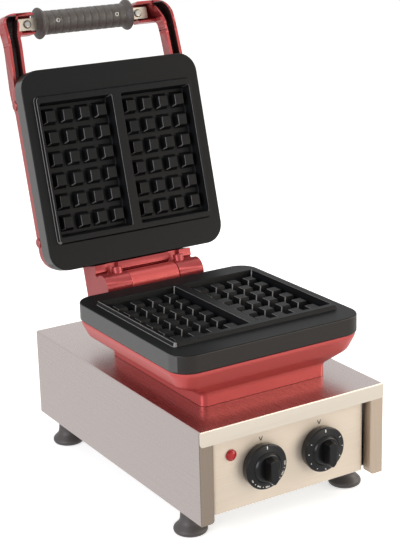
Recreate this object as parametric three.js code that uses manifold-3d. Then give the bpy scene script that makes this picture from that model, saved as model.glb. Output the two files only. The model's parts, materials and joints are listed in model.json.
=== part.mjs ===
// Belgian waffle maker: a single cast waffle iron on a sheet steel housing, standing open.
// Millimetres, X to the right seen from the front, Y to the back, Z up.
// The housing's front face is drawn at Y = 0, and the finished group is moved to its base centre.

import * as THREE from "three";
import { mergeVertices } from "three/addons/utils/BufferGeometryUtils.js";
import Module from "manifold-3d";

const wasm = await Module();
wasm.setup();

// Clearances
const SEAT = 0.3; // gap between pieces that rest on each other
const RUNNING = 0.3; // radial gap round a turning or screwed piece
const OVERRUN = 3; // how far a cutter runs past the faces it cuts
const GRID = 0.0001; // step that corner points are rounded to

// Housing, folded from stainless sheet
const HOUSING_WIDTH = 250;
const HOUSING_DEPTH = 400;
const HOUSING_HEIGHT = 112;
const FOOT_HEIGHT = 30;
const SHEET = 1.2;
const FOLD_RADIUS = 2.5;
const LIP_HEIGHT = 18;
const LIP_CORNER_RADIUS = 4;
const FLANGE_WIDTH = 17.5;
const FLANGE_CORNER_RADIUS = 5;
const RETURN_DEPTH = 13;
const WIRE_HOLE_RADIUS = 24;
const HALF_WIDTH = HOUSING_WIDTH / 2;
const HOUSING_TOP = FOOT_HEIGHT + HOUSING_HEIGHT;
const SHELL_INSIDE = HALF_WIDTH - SHEET - SEAT;

// Bottom plate, a tray with a front and two side upstands
const UPSTAND_HEIGHT = 13;
const UPSTAND_SIDE_INSET = 31;
const BOTTOM_SLOT_LENGTH = 70;
const BOTTOM_SLOT_WIDTH = 4;
const BOTTOM_SLOT_PITCH = 12;
const BOTTOM_SLOT_COUNT = 6;
const BOTTOM_TOP = FOOT_HEIGHT + SHEET;
const UPSTAND_HALF_WIDTH = HALF_WIDTH - UPSTAND_SIDE_INSET;

// Control panel, recessed behind the housing's lip
const PANEL_RECESS = 10;
const PANEL_SIDE_INSET = 26;
const PANEL_FOLD_RADIUS = 5.5;
const PANEL_WING_DEPTH = 24;
const PANEL_BOTTOM_GAP = 4.5;
const PANEL_BOTTOM = FOOT_HEIGHT + PANEL_BOTTOM_GAP;
const PANEL_TOP = HOUSING_TOP - SHEET - SEAT;
const PANEL_BACK = PANEL_RECESS + SHEET;
const PANEL_HALF_WIDTH = HALF_WIDTH - PANEL_SIDE_INSET;

// Rear panel, a shallow tray with vents and the cable inlet
const REAR_FLANGE_DEPTH = 10;
const VENT_WIDTH = 4;
const VENT_HEIGHT = 38;
const VENT_PITCH = 11;
const VENT_COUNT = 7;
const VENT_SIDE_INSET = 77;
const VENT_DROP = 44;
const REAR_FACE = HOUSING_DEPTH - SHEET;
const REAR_INSIDE = REAR_FACE - SHEET;
const REAR_BOTTOM = BOTTOM_TOP + SEAT;
const VENT_CENTRE_X = HALF_WIDTH - VENT_SIDE_INSET;
const VENT_CENTRE_Z = HOUSING_TOP - VENT_DROP;

// Feet, trumpet shaped, each held by one screw from below
const FOOT_RADIUS = 19.8;
const FOOT_RIM_HEIGHT = 4;
const FOOT_WAIST_RADIUS = 12.5;
const FOOT_TOP_RADIUS = 11.5;
const FOOT_RECESS_RADIUS = 6.5;
const FOOT_RECESS_DEPTH = 12;
const FOOT_SIDE_INSET = 16.2;
const FOOT_FRONT_Y = 52;
const FOOT_REAR_INSET = 45;
const FOOT_SCREW_RADIUS = 2.5;
const FOOT_SCREW_HEAD_RADIUS = 4.5;
const FOOT_SCREW_HEAD_HEIGHT = 3;
const CLINCH_NUT_RADIUS = 4.6;
const CLINCH_NUT_HEIGHT = 4;
const FOOT_X = HALF_WIDTH - FOOT_SIDE_INSET;

// Knobs, their shafts and the parts behind the panel
const KNOB_EDGE_STRIP = 19;
const KNOB_RAISE = 3.5;
const KNOB_GAP = 1;
const KNOB_BASE_RADIUS = 24.5;
const KNOB_SKIRT_RADIUS = 27;
const KNOB_SKIRT_HEIGHT = 11;
const KNOB_HUB_RADIUS = 15;
const KNOB_HUB_HEIGHT = 16;
const KNOB_HEIGHT = 27;
const KNOB_BAR_WIDTH = 11;
const KNOB_BAR_TOP = 13.5;
const KNOB_BAR_TIP = 17.5;
const KNOB_HOLLOW_RADIUS = 21.5;
const KNOB_HOLLOW_DEPTH = 8;
const SHAFT_RADIUS = 3;
const SHAFT_GRIP_DEPTH = 14;
const SHAFT_TAIL = 4;
const BUSH_RADIUS = 5;
const BUSH_LENGTH = 5;
const SHAFT_HOLE_RADIUS = 5.6;
const THERMOSTAT_SIZE = 36;
const THERMOSTAT_DEPTH = 28;
const TIMER_SIZE = 46;
const TIMER_DEPTH = 38;
const CONTROL_FLANGE = 3;
const SPADE_WIDTH = 6.3;
const SPADE_THICK = 0.8;
const SPADE_LENGTH = 8;
const KNOB_X = (PANEL_HALF_WIDTH - KNOB_EDGE_STRIP) / 2;
const KNOB_Z = (FOOT_HEIGHT + HOUSING_TOP - LIP_HEIGHT) / 2 + KNOB_RAISE;

// Pilot lamp
const LAMP_SIDE_INSET = 19.2;
const LAMP_RAISE = 20.7;
const LAMP_LENS_RADIUS = 6.8;
const LAMP_LENS_HEIGHT = 4;
const LAMP_RIM_HEIGHT = 1.2;
const LAMP_BARREL_RADIUS = 4.7;
const LAMP_BARREL_LENGTH = 26;
const LAMP_STEM_LENGTH = 4;
const LAMP_X = LAMP_SIDE_INSET - PANEL_HALF_WIDTH;
const LAMP_Z = KNOB_Z + LAMP_RAISE;

// Rear fittings
const GLAND_SIDE_INSET = 53;
const GLAND_RISE = 36;
const GLAND_THREAD_RADIUS = 10;
const GLAND_HEAD_RADIUS = 13.5;
const GLAND_HEAD_LENGTH = 8;
const GLAND_DOME_RADIUS = 11.5;
const GLAND_DOME_LENGTH = 16;
const GLAND_BORE_RADIUS = 4.6;
const GLAND_TAIL_LENGTH = 9;
const GLAND_NUT_RADIUS = 14;
const GLAND_NUT_LENGTH = 5;
const TERMINAL_LENGTH = 58;
const TERMINAL_DEPTH = 18;
const TERMINAL_HEIGHT = 16;
const TERMINAL_POLES = 5;
const TERMINAL_SCREW_RADIUS = 2.6;
const TERMINAL_SCREW_DEPTH = 3;
const TERMINAL_REAR_GAP = 49.6;
const EARTH_SIDE_INSET = 37;
const EARTH_RISE = 22;
const EARTH_STUD_RADIUS = 3;
const EARTH_STUD_LENGTH = 14;
const EARTH_NUT_RADIUS = 5.8;
const EARTH_NUT_LENGTH = 5;
const GLAND_X = GLAND_SIDE_INSET - HALF_WIDTH;
const GLAND_Z = FOOT_HEIGHT + GLAND_RISE;
const TERMINAL_Y = REAR_INSIDE - TERMINAL_REAR_GAP - TERMINAL_DEPTH;
const EARTH_X = HALF_WIDTH - EARTH_SIDE_INSET;
const EARTH_Z = FOOT_HEIGHT + EARTH_RISE;

// Waffle plates, the same casting above and below
const PLATE_OVERHANG = 1.4;
const PLATE_FRONT = 36.4;
const PLATE_LENGTH = 250.8;
const PLATE_THICKNESS = 22;
const PLATE_CORNER_RADIUS = 25;
const LOWER_FACE_RISE = 73.5;
const PAD_HEIGHT = 5;
const PAD_SIDE_INSET = 13.9;
const PAD_FRONT_INSET = 32.6;
const PAD_BACK_INSET = 33.2;
const PAD_DRAFT = 1.5;
const PAD_CORNER_RADIUS = 6;
const CLOSED_PAD_GAP = 0.5;
const RIB_HALF_WIDTH = 6.5;
const CAVITY_SIDE_RIM = 4.7;
const CAVITY_FRONT_RIM = 9;
const CAVITY_BACK_RIM = 8.5;
const CAVITY_DEPTH = 15;
const CAVITY_DRAFT = 2.5;
const PEG_COLUMNS = 4;
const PEG_ROWS = 6;
const PEG_SINK = 4.6;
const PEG_GAP_ACROSS = 6.8;
const PEG_GAP_ALONG = 8.2;
const PEG_WALL_ACROSS = 6.4;
const PEG_WALL_ALONG = 8;
const PEG_DRAFT = 2.4;
const PLATE_HALF_WIDTH = HALF_WIDTH + PLATE_OVERHANG;
const PLATE_HALF_LENGTH = PLATE_LENGTH / 2;
const PLATE_BACK = PLATE_FRONT + PLATE_LENGTH;
const PLATE_MIDDLE = (PLATE_FRONT + PLATE_BACK) / 2;
const LOWER_FACE_Z = HOUSING_TOP + LOWER_FACE_RISE;
const LID_FACE_Z = LOWER_FACE_Z + 2 * PAD_HEIGHT + CLOSED_PAD_GAP;
const PAD_HALF_WIDTH = PLATE_HALF_WIDTH - PAD_SIDE_INSET;
const PAD_FRONT = PLATE_FRONT + PAD_FRONT_INSET;
const PAD_BACK = PLATE_BACK - PAD_BACK_INSET;
const CAVITY_WIDTH = PAD_HALF_WIDTH - RIB_HALF_WIDTH - CAVITY_SIDE_RIM;
const CAVITY_FRONT = PAD_FRONT + CAVITY_FRONT_RIM;
const CAVITY_LENGTH = PAD_BACK - CAVITY_BACK_RIM - CAVITY_FRONT;

// Heating element, its clamp sheet and the clamp's screws
const ELEMENT_RADIUS = 4;
const ELEMENT_BEND = 16;
const ELEMENT_SIDE_INSET = 32.4;
const ELEMENT_END_INSET = 41.4;
const ELEMENT_LEG_X = 13;
const ELEMENT_TAIL = 14.8;
const ELEMENT_ROOF_GAP = 1.7;
const ELEMENT_STEPS = 36;
const ELEMENT_SIDES = 6;
const CLAMP_THICKNESS = 2;
const CLAMP_MARGIN = 10;
const CLAMP_CORNER_RADIUS = 12;
const CLAMP_HOLE_RADIUS = 26;
const CLAMP_BOSS_RADIUS = 6.5;
const CLAMP_BOSS_SIDE_INSET = 38;
const CLAMP_BOSS_END_INSET = 44;
const CLAMP_SCREW_RADIUS = 2.5;
const CLAMP_SCREW_DEPTH = 12;
const CLAMP_SCREW_HEAD_RADIUS = 4.6;
const CLAMP_SCREW_HEAD_HEIGHT = 3;
const CLAMP_DROP = PLATE_THICKNESS + SEAT + 2 * ELEMENT_RADIUS + SEAT;
const ELEMENT_DROP = PLATE_THICKNESS + SEAT + ELEMENT_RADIUS;
const ELEMENT_HALF_WIDTH = PLATE_HALF_WIDTH - ELEMENT_SIDE_INSET;
const ELEMENT_HALF_LENGTH = PLATE_HALF_LENGTH - ELEMENT_END_INSET;
const LOWER_LEG_LENGTH = LOWER_FACE_RISE - ELEMENT_DROP + ELEMENT_TAIL;
const CLAMP_HALF_WIDTH = ELEMENT_HALF_WIDTH + CLAMP_MARGIN;
const CLAMP_HALF_LENGTH = ELEMENT_HALF_LENGTH + CLAMP_MARGIN;
const CLAMP_BOSS_X = ELEMENT_HALF_WIDTH - CLAMP_BOSS_SIDE_INSET;
const CLAMP_BOSS_Y = ELEMENT_HALF_LENGTH - CLAMP_BOSS_END_INSET;

// Thermostat bulb and its capillary
const BULB_RADIUS = 3;
const BULB_X = 34;
const BULB_START = -2;
const BULB_LENGTH = 50;
const BULB_TURN = 7;
const CAPILLARY_X = 20;
const CAPILLARY_RADIUS = 1;
const CAPILLARY_STEPS = 44;
const CAPILLARY_SIDES = 4;

// Base casting: pedestal, flared rim and hinge bracket
const PEDESTAL_SIDE_INSET = 41.1;
const PEDESTAL_FRONT_INSET = 21.3;
const PEDESTAL_BACK_INSET = 19.2;
const PEDESTAL_CORNER_RADIUS = 8;
const PEDESTAL_RISER = 16;
const SHOULDER_RISE = 30;
const SHOULDER_INSET = 9.5;
const SHOULDER_CORNER_RADIUS = 18;
const RIM_LIP = 3.5;
const RIM_INSET = 1.2;
const CASTING_WALL = 7;
const CASTING_FLOOR = 8;
const CASTING_BOLT_SIDE_INSET = 15.3;
const CASTING_BOLT_INSET = 24;
const CASTING_BOLT_RADIUS = 3;
const CASTING_BOLT_HEAD_RADIUS = 5.8;
const CASTING_BOLT_HEAD_HEIGHT = 4;
const CASTING_BOLT_THREAD = 6;
const PEDESTAL_HALF_WIDTH = PLATE_HALF_WIDTH - PEDESTAL_SIDE_INSET;
const PEDESTAL_FRONT = PLATE_FRONT + PEDESTAL_FRONT_INSET;
const PEDESTAL_BACK = PLATE_BACK - PEDESTAL_BACK_INSET;
const CASTING_BOLT_X = PEDESTAL_HALF_WIDTH - CASTING_BOLT_SIDE_INSET;
const RIM_TOP = LOWER_FACE_Z - PLATE_THICKNESS - SEAT;

// Hinge
const HINGE_SETBACK = 28.8;
const HINGE_DROP = 4.3;
const BARREL_RADIUS = 16;
const BARREL_HALF_LENGTH = 70;
const CENTRE_HALF_LENGTH = 34.5;
const KNUCKLE_GAP = 0.5;
const PIN_RADIUS = 6;
const PIN_BORE_RADIUS = 3.5;
const PIN_INSET = 1.5;
const OPEN_DEGREES = 105;
const OPEN_ANGLE = THREE.MathUtils.degToRad(OPEN_DEGREES);
const BLOCK_RISE = 7.5;
const BLOCK_STRIP_DROP = 4.5;
const BLOCK_FRONT_GAP = 0.9;
const BLOCK_STRIP_DEPTH = 9;
const BLOCK_GROOVE_RISE = 3;
const BLOCK_GROOVE_WIDTH = 4;
const BLOCK_REACH = 18;
const BLOCK_CHAMFER = 3;
const BLOCK_ROOT = 9;
const BLOCK_RELIEF = 20.5;
const BRACKET_NECK = 13;
const BRACKET_DEPTH = 6;
const GRUB_X = 45;
const GRUB_BOSS_RADIUS = 6.5;
const GRUB_NOTCH_HALF_WIDTH = 8;
const GRUB_NOTCH_RISE = 6;
const GRUB_RADIUS = 3;
const GRUB_LENGTH = 8;
const GRUB_SOCKET_RADIUS = 1.5;
const GRUB_SOCKET_DEPTH = 3;
const HINGE_Y = PLATE_BACK + HINGE_SETBACK;
const HINGE_Z = LOWER_FACE_Z - HINGE_DROP;
const BLOCK_TOP = PLATE_THICKNESS + BLOCK_RISE;

// Lid casting; rises are above the top of the closed lid's plate
const LID_SIDE_RISE = 12;
const LID_SHOULDER_RISE = 21;
const LID_SHOULDER_INSET = 8;
const LID_TOP_RISE = 28;
const LID_TOP_INSET = 30;
const LID_RIM_INSET = 1;
const LID_WALL = 8;
const LID_POCKET_CLEARANCE = 2;
const TERMINAL_POCKET_HALF_WIDTH = 34;
const TERMINAL_POCKET_HALF_LENGTH = 22;
const TERMINAL_POCKET_ROOF = 5;
const SIDE_BOSS_RADIUS = 6;
const SIDE_BOSS_PROUD = 1.5;
const SIDE_BOSS_FRONT_INSET = 38.6;
const SIDE_BOSS_BACK_INSET = 39.2;
const LID_SIDE_HEIGHT = PLATE_THICKNESS + LID_SIDE_RISE;
const LID_SHOULDER_HEIGHT = PLATE_THICKNESS + LID_SHOULDER_RISE;
const LID_TOP_HEIGHT = PLATE_THICKNESS + LID_TOP_RISE;
const SIDE_BOSS_FRONT = PLATE_FRONT + SIDE_BOSS_FRONT_INSET;
const SIDE_BOSS_BACK = PLATE_BACK - SIDE_BOSS_BACK_INSET;
const UPPER_LEG_LENGTH = LID_TOP_HEIGHT - TERMINAL_POCKET_ROOF - ELEMENT_DROP - ELEMENT_ROOF_GAP;

// Handle bow; its reaches run forward from the plate's front edge, its rises as the lid's
const BOW_ROOT_DEPTH = 29.6;
const BOW_ROOT_INSET = 2;
const BOW_ARM_WIDTH = 18;
const BOW_ARM_INSET = 4.9;
const BOW_ARM_REACH = 36.4;
const BOW_OUTER_RADIUS = 30;
const BOW_INNER_RADIUS = 5;
const BOW_END_REACH = 76.4;
const BOW_STUB_LENGTH = 48.5;
const BOW_STUB_WIDTH = 28;
const BOW_CHAMFER = 4;
const BOW_DEPTH = 18;
const BOW_ROOT_LIFT = 2;
const BOW_ARM_LIFT = 2.5;
const BOW_KNEE_REACH = 49.4;
const BOW_KNEE_LIFT = 7;
const BOW_CORNER_REACH = 63.4;
const BOW_CORNER_LIFT = 14;
const BOW_STUB_LIFT = 18;
const BOW_RIB = 3.8;
const BOW_FLOOR = 3.7;
const BOW_ROOT_X = PLATE_HALF_WIDTH - BOW_ROOT_INSET;
const BOW_ROOT_Y = PLATE_FRONT + BOW_ROOT_DEPTH;
const BOW_ARM_END_X = PLATE_HALF_WIDTH - BOW_ARM_INSET;
const BOW_ARM_END_Y = PLATE_FRONT - BOW_ARM_REACH;
const BOW_KNEE_Y = PLATE_FRONT - BOW_KNEE_REACH;
const BOW_CORNER_Y = PLATE_FRONT - BOW_CORNER_REACH;
const BOW_END_Y = PLATE_FRONT - BOW_END_REACH;
const BOW_STUB_X = BOW_ARM_END_X - BOW_STUB_LENGTH;
const BOW_ROOT_RISE = PLATE_THICKNESS + BOW_ROOT_LIFT;
const BOW_ARM_RISE = PLATE_THICKNESS + BOW_ARM_LIFT;
const BOW_KNEE_RISE = PLATE_THICKNESS + BOW_KNEE_LIFT;
const BOW_CORNER_RISE = PLATE_THICKNESS + BOW_CORNER_LIFT;
const BOW_STUB_RISE = PLATE_THICKNESS + BOW_STUB_LIFT;

// Handle bar, grip and their screws
const BAR_WIDTH = 15.5;
const BAR_THICKNESS = 4;
const BAR_END_INSET = 28.5;
const BAR_CORNER_RADIUS = 1.5;
const BOLT_INSET = 12.7;
const BOLT_RADIUS = 3;
const BOLT_HEAD_RADIUS = 5;
const BOLT_HEAD_HEIGHT = 3;
const NUT_RADIUS = 5.6;
const NUT_HEIGHT = 4.5;
const GRIP_RADIUS = 15.3;
const GRIP_GROOVE_DEPTH = 0.8;
const GRIP_GROOVE_WIDTH = 2;
const GRIP_GROOVE_COUNT = 10;
const GRIP_END_GAP = 6;
const COLLAR_RADIUS = 20.3;
const COLLAR_WIDTH = 9;
const COLLAR_NECK = 3;
const GRIP_SCREW_INSET = 15.5;
const GRIP_SCREW_RADIUS = 2;
const GRIP_SCREW_HEAD_RADIUS = 3.2;
const GRIP_SCREW_HEAD_HEIGHT = 2.2;
const GRIP_SCREW_SINK = 1;
const BAR_HALF_LENGTH = BOW_ARM_END_X - BAR_END_INSET;
const BOLT_X = BAR_HALF_LENGTH - BOLT_INSET;
const GRIP_HALF_LENGTH = BOW_STUB_X - GRIP_END_GAP - COLLAR_WIDTH;
const GRIP_SCREW_X = GRIP_HALF_LENGTH - GRIP_SCREW_INSET;
const BAR_Y = BOW_END_Y + BOW_STUB_WIDTH / 2;
const BAR_TOP = BOW_STUB_RISE + BOW_DEPTH - BOW_FLOOR - SEAT;
const BAR_MIDDLE = BAR_TOP - BAR_THICKNESS / 2;

// Facets
const FINE = 24;
const ROUND = 16;
const SMALL = 8;
const HEX = 6;
const CORNER_STEPS = 5;
const ARC_STEPS = 4;

// Solids from closed geometries

// Rounded so that faces drawn at the same size meet exactly
function onGrid(value) {
  return Math.round(value / GRID) * GRID;
}

function solid(geometry) {
  const bare = geometry.index ? geometry.toNonIndexed() : geometry.clone();
  bare.deleteAttribute("normal");
  bare.deleteAttribute("uv");
  const merged = mergeVertices(bare);
  const triVerts = [];
  const corners = merged.index.array;
  for (let i = 0; i < corners.length; i += 3) {
    const [a, b, c] = [corners[i], corners[i + 1], corners[i + 2]];
    if (a !== b && b !== c && c !== a) triVerts.push(a, b, c);
  }
  return new wasm.Manifold(new wasm.Mesh({
    numProp: 3,
    vertProperties: Float32Array.from(merged.attributes.position.array, onGrid),
    triVerts: Uint32Array.from(triVerts),
  }));
}

function join(first, ...others) {
  return others.reduce((whole, part) => whole.add(part), first);
}

function cut(first, ...cutters) {
  return cutters.reduce((whole, cutter) => whole.subtract(cutter), first);
}

function geometryOf(body) {
  const mesh = body.getMesh();
  const geometry = new THREE.BufferGeometry();
  geometry.setAttribute("position", new THREE.BufferAttribute(mesh.vertProperties, mesh.numProp));
  geometry.setIndex(new THREE.BufferAttribute(mesh.triVerts, 1));
  geometry.computeVertexNormals();
  return geometry;
}

// Basic forms

// Quarter turns written out, so that they add no rounding
const TIPPED_BACK = new THREE.Matrix4().set(1, 0, 0, 0, 0, 0, -1, 0, 0, 1, 0, 0, 0, 0, 0, 1);
const TURNED_ACROSS = new THREE.Matrix4().set(0, 0, 1, 0, 1, 0, 0, 0, 0, 1, 0, 0, 0, 0, 0, 1);
const TIPPED_ACROSS = new THREE.Matrix4().set(0, 1, 0, 0, -1, 0, 0, 0, 0, 0, 1, 0, 0, 0, 0, 1);

function extrude(shape, depth) {
  return new THREE.ExtrudeGeometry(shape, { depth, bevelEnabled: false, curveSegments: ARC_STEPS });
}

// A plan outline (x, y) raised from z0 to z1
function upright(shape, z0, z1) {
  return solid(extrude(shape, z1 - z0).translate(0, 0, z0));
}

// A front outline (x, z) run back from y0 to y1
function backward(shape, y0, y1) {
  return solid(extrude(shape, y1 - y0).applyMatrix4(TIPPED_BACK).translate(0, y1, 0));
}

// A side outline (y, z) run across from x0 to x1
function across(shape, x0, x1) {
  return solid(extrude(shape, x1 - x0).applyMatrix4(TURNED_ACROSS).translate(x0, 0, 0));
}

function block(x0, x1, y0, y1, z0, z1) {
  const box = new THREE.BoxGeometry(x1 - x0, y1 - y0, z1 - z0);
  return solid(box.translate((x0 + x1) / 2, (y0 + y1) / 2, (z0 + z1) / 2));
}

// A turned piece; its profile runs from the axis back to the axis, or closes on itself
function turned(profile, axis = "z", segments = ROUND) {
  const points = profile.map(([radius, along]) => new THREE.Vector2(radius, along));
  const doubled = points.reduce((sum, p, i) => {
    const q = points[(i + 1) % points.length];
    return sum + p.x * q.y - q.x * p.y;
  }, 0);
  if (doubled < 0) points.reverse();
  const geometry = new THREE.LatheGeometry(points, segments);
  if (axis === "z") geometry.applyMatrix4(TIPPED_BACK);
  if (axis === "x") geometry.applyMatrix4(TIPPED_ACROSS);
  return solid(geometry);
}

function rod(radius, from, to, axis = "z", segments = ROUND) {
  return turned([[0, from], [radius, from], [radius, to], [0, to]], axis, segments);
}

function polygon(points) {
  return new THREE.Shape(points.map(([u, v]) => new THREE.Vector2(u, v)));
}

// Corner points of a rectangle with rounded corners, anticlockwise; a radius may be zero
function cornerPoints(left, right, low, high, lowRadius, highRadius) {
  const corners = [
    [right - lowRadius, low + lowRadius, lowRadius],
    [right - highRadius, high - highRadius, highRadius],
    [left + highRadius, high - highRadius, highRadius],
    [left + lowRadius, low + lowRadius, lowRadius],
  ];
  return corners.flatMap(([x, y, radius], corner) => {
    const steps = radius > 0 ? CORNER_STEPS : 1;
    const count = radius > 0 ? CORNER_STEPS + 1 : 1;
    return Array.from({ length: count }, (_, i) => {
      const angle = (corner - 1 + i / steps) * Math.PI / 2;
      return new THREE.Vector2(x + radius * Math.cos(angle), y + radius * Math.sin(angle));
    });
  });
}

function rectangle(left, right, low, high, lowRadius, highRadius = lowRadius) {
  return new THREE.Shape(cornerPoints(left, right, low, high, lowRadius, highRadius));
}

// One level of a lofted casting: a rounded rectangle at height z
function level(halfWidth, front, back, radius, z) {
  return cornerPoints(-halfWidth, halfWidth, front, back, radius, radius)
    .map((p) => new THREE.Vector3(p.x, p.y, z));
}

// Skin through levels of equal point counts, with flat ends
function loft(levels) {
  const count = levels[0].length;
  const index = [];
  for (let row = 0; row + 1 < levels.length; row++) {
    for (let i = 0; i < count; i++) {
      const a = row * count + i;
      const b = row * count + (i + 1) % count;
      index.push(a, b, b + count, a, b + count, a + count);
    }
  }
  const top = (levels.length - 1) * count;
  for (let i = 1; i + 1 < count; i++) {
    index.push(0, i + 1, i, top, top + i, top + i + 1);
  }
  const geometry = new THREE.BufferGeometry().setFromPoints(levels.flat());
  geometry.setIndex(index);
  return solid(geometry);
}

// A four sided block that tapers from its base to its top
function tapered(halfX, halfY, topInset, z0, z1) {
  const corners = (inset, z) => [[-1, -1], [1, -1], [1, 1], [-1, 1]].map(
    ([sx, sy]) => new THREE.Vector3(sx * (halfX - inset), sy * (halfY - inset), z));
  return loft([corners(0, z0), corners(topInset, z1)]);
}

// A round bar bent along a route of corner points
function bentRod(corners, bend, radius, steps, sides) {
  const route = new THREE.CurvePath();
  let last = corners[0];
  for (let i = 1; i + 1 < corners.length; i++) {
    const into = corners[i - 1].clone().sub(corners[i]).setLength(bend).add(corners[i]);
    const away = corners[i + 1].clone().sub(corners[i]).setLength(bend).add(corners[i]);
    route.add(new THREE.LineCurve3(last, into));
    route.add(new THREE.QuadraticBezierCurve3(into, corners[i], away));
    last = away;
  }
  route.add(new THREE.LineCurve3(last, corners[corners.length - 1]));
  const section = new THREE.Shape().absarc(0, 0, radius, 0, 2 * Math.PI);
  return solid(new THREE.ExtrudeGeometry(section, {
    steps, extrudePath: route, curveSegments: sides / 2,
  }));
}

// Finishes

function finish(color, roughness, metalness) {
  return new THREE.MeshStandardMaterial({ color, roughness, metalness });
}

const stainless = () => finish("#b3a8a6", 0.35, 1);
const zincSteel = () => finish("#a9a7a2", 0.4, 1);
const redEnamel = () => finish("#b5403f", 0.38, 0.45);
const coatedIron = () => finish("#2a2a2a", 0.5, 0.2);
const blackMoulding = () => finish("#2b2a2a", 0.45, 0);
const gripMoulding = () => finish("#4a4542", 0.6, 0);
const footMoulding = () => finish("#3a3a3a", 0.6, 0);
const elementSheath = () => finish("#6d6a66", 0.5, 0.9);
const redLens = () => finish("#c8141e", 0.2, 0);
const paleMoulding = () => finish("#d8d2c4", 0.6, 0);
const brass = () => finish("#b08d4a", 0.35, 1);

function piece(name, body, material) {
  const mesh = new THREE.Mesh(geometryOf(body), material);
  mesh.name = name;
  return mesh;
}

// Housing

function housingShell() {
  const outside = rectangle(-HALF_WIDTH, HALF_WIDTH, FOOT_HEIGHT, HOUSING_TOP, 0, FOLD_RADIUS);
  const inside = rectangle(
    SHEET - HALF_WIDTH, HALF_WIDTH - SHEET, FOOT_HEIGHT - OVERRUN, HOUSING_TOP - SHEET,
    0, FOLD_RADIUS - SHEET);
  const lip = rectangle(
    -HALF_WIDTH, HALF_WIDTH, HOUSING_TOP - LIP_HEIGHT, HOUSING_TOP, LIP_CORNER_RADIUS, FOLD_RADIUS);
  const cover = cut(
    backward(outside, SHEET, HOUSING_DEPTH),
    backward(inside, SHEET - OVERRUN, HOUSING_DEPTH + OVERRUN),
    rod(WIRE_HOLE_RADIUS, HOUSING_TOP - OVERRUN, HOUSING_TOP + OVERRUN).translate(0, PLATE_MIDDLE, 0));
  const bolts = castingBoltPlaces().map(([x, y]) =>
    rod(CASTING_BOLT_RADIUS + RUNNING, HOUSING_TOP - OVERRUN, HOUSING_TOP + OVERRUN, "z", SMALL)
      .translate(x, y, 0));
  const sides = [-1, 1].flatMap((side) => [flange(side), foldedReturn(side)]);
  return cut(join(cover, backward(lip, 0, SHEET), ...sides), ...bolts);
}

function flange(side) {
  const inner = HALF_WIDTH - FLANGE_WIDTH;
  const shape = new THREE.Shape();
  shape.moveTo(inner, HOUSING_TOP - SHEET);
  shape.lineTo(inner, FOOT_HEIGHT + FLANGE_CORNER_RADIUS);
  shape.absarc(
    inner + FLANGE_CORNER_RADIUS, FOOT_HEIGHT + FLANGE_CORNER_RADIUS, FLANGE_CORNER_RADIUS,
    Math.PI, 1.5 * Math.PI);
  shape.lineTo(HALF_WIDTH, FOOT_HEIGHT);
  shape.lineTo(HALF_WIDTH, HOUSING_TOP - FOLD_RADIUS);
  shape.lineTo(HALF_WIDTH - FOLD_RADIUS, HOUSING_TOP - SHEET);
  const right = backward(shape, SHEET, 2 * SHEET);
  return side > 0 ? right : right.mirror([1, 0, 0]);
}

function foldedReturn(side) {
  const inner = HALF_WIDTH - FLANGE_WIDTH;
  const low = BOTTOM_TOP + FLANGE_CORNER_RADIUS;
  const right = block(inner, inner + SHEET, SHEET, SHEET + RETURN_DEPTH, low, HOUSING_TOP - SHEET);
  return side > 0 ? right : right.mirror([1, 0, 0]);
}

function bottomPlate() {
  const front = PANEL_BACK + SEAT;
  const sideEnd = REAR_INSIDE - REAR_FLANGE_DEPTH - SEAT;
  const upTop = BOTTOM_TOP + UPSTAND_HEIGHT;
  const sheet = block(-SHELL_INSIDE, SHELL_INSIDE, front, REAR_FACE, FOOT_HEIGHT, BOTTOM_TOP);
  const frontUp = block(
    -UPSTAND_HALF_WIDTH, UPSTAND_HALF_WIDTH, front, front + SHEET, FOOT_HEIGHT, upTop);
  const sides = [-1, 1].map((side) => {
    const outer = side * SHELL_INSIDE;
    const inner = side * (SHELL_INSIDE - SHEET);
    const start = SHEET + RETURN_DEPTH + SEAT;
    return block(Math.min(outer, inner), Math.max(outer, inner), start, sideEnd, FOOT_HEIGHT, upTop);
  });
  const nuts = footPlaces().map(([x, y]) =>
    rod(CLINCH_NUT_RADIUS, FOOT_HEIGHT, BOTTOM_TOP + CLINCH_NUT_HEIGHT, "z", SMALL).translate(x, y, 0));
  const holes = footPlaces().map(([x, y]) =>
    rod(FOOT_SCREW_RADIUS + RUNNING, FOOT_HEIGHT - OVERRUN, HOUSING_TOP, "z", SMALL).translate(x, y, 0));
  return cut(join(sheet, frontUp, ...sides, ...nuts), ...holes, ...bottomSlots());
}

function bottomSlots() {
  const slots = [];
  for (let i = 0; i < BOTTOM_SLOT_COUNT; i++) {
    const y = PLATE_MIDDLE + (i - (BOTTOM_SLOT_COUNT - 1) / 2) * BOTTOM_SLOT_PITCH;
    const shape = rectangle(
      -BOTTOM_SLOT_LENGTH / 2, BOTTOM_SLOT_LENGTH / 2,
      y - BOTTOM_SLOT_WIDTH / 2, y + BOTTOM_SLOT_WIDTH / 2, 0);
    slots.push(upright(shape, FOOT_HEIGHT - OVERRUN, BOTTOM_TOP + OVERRUN));
  }
  return slots;
}

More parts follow.
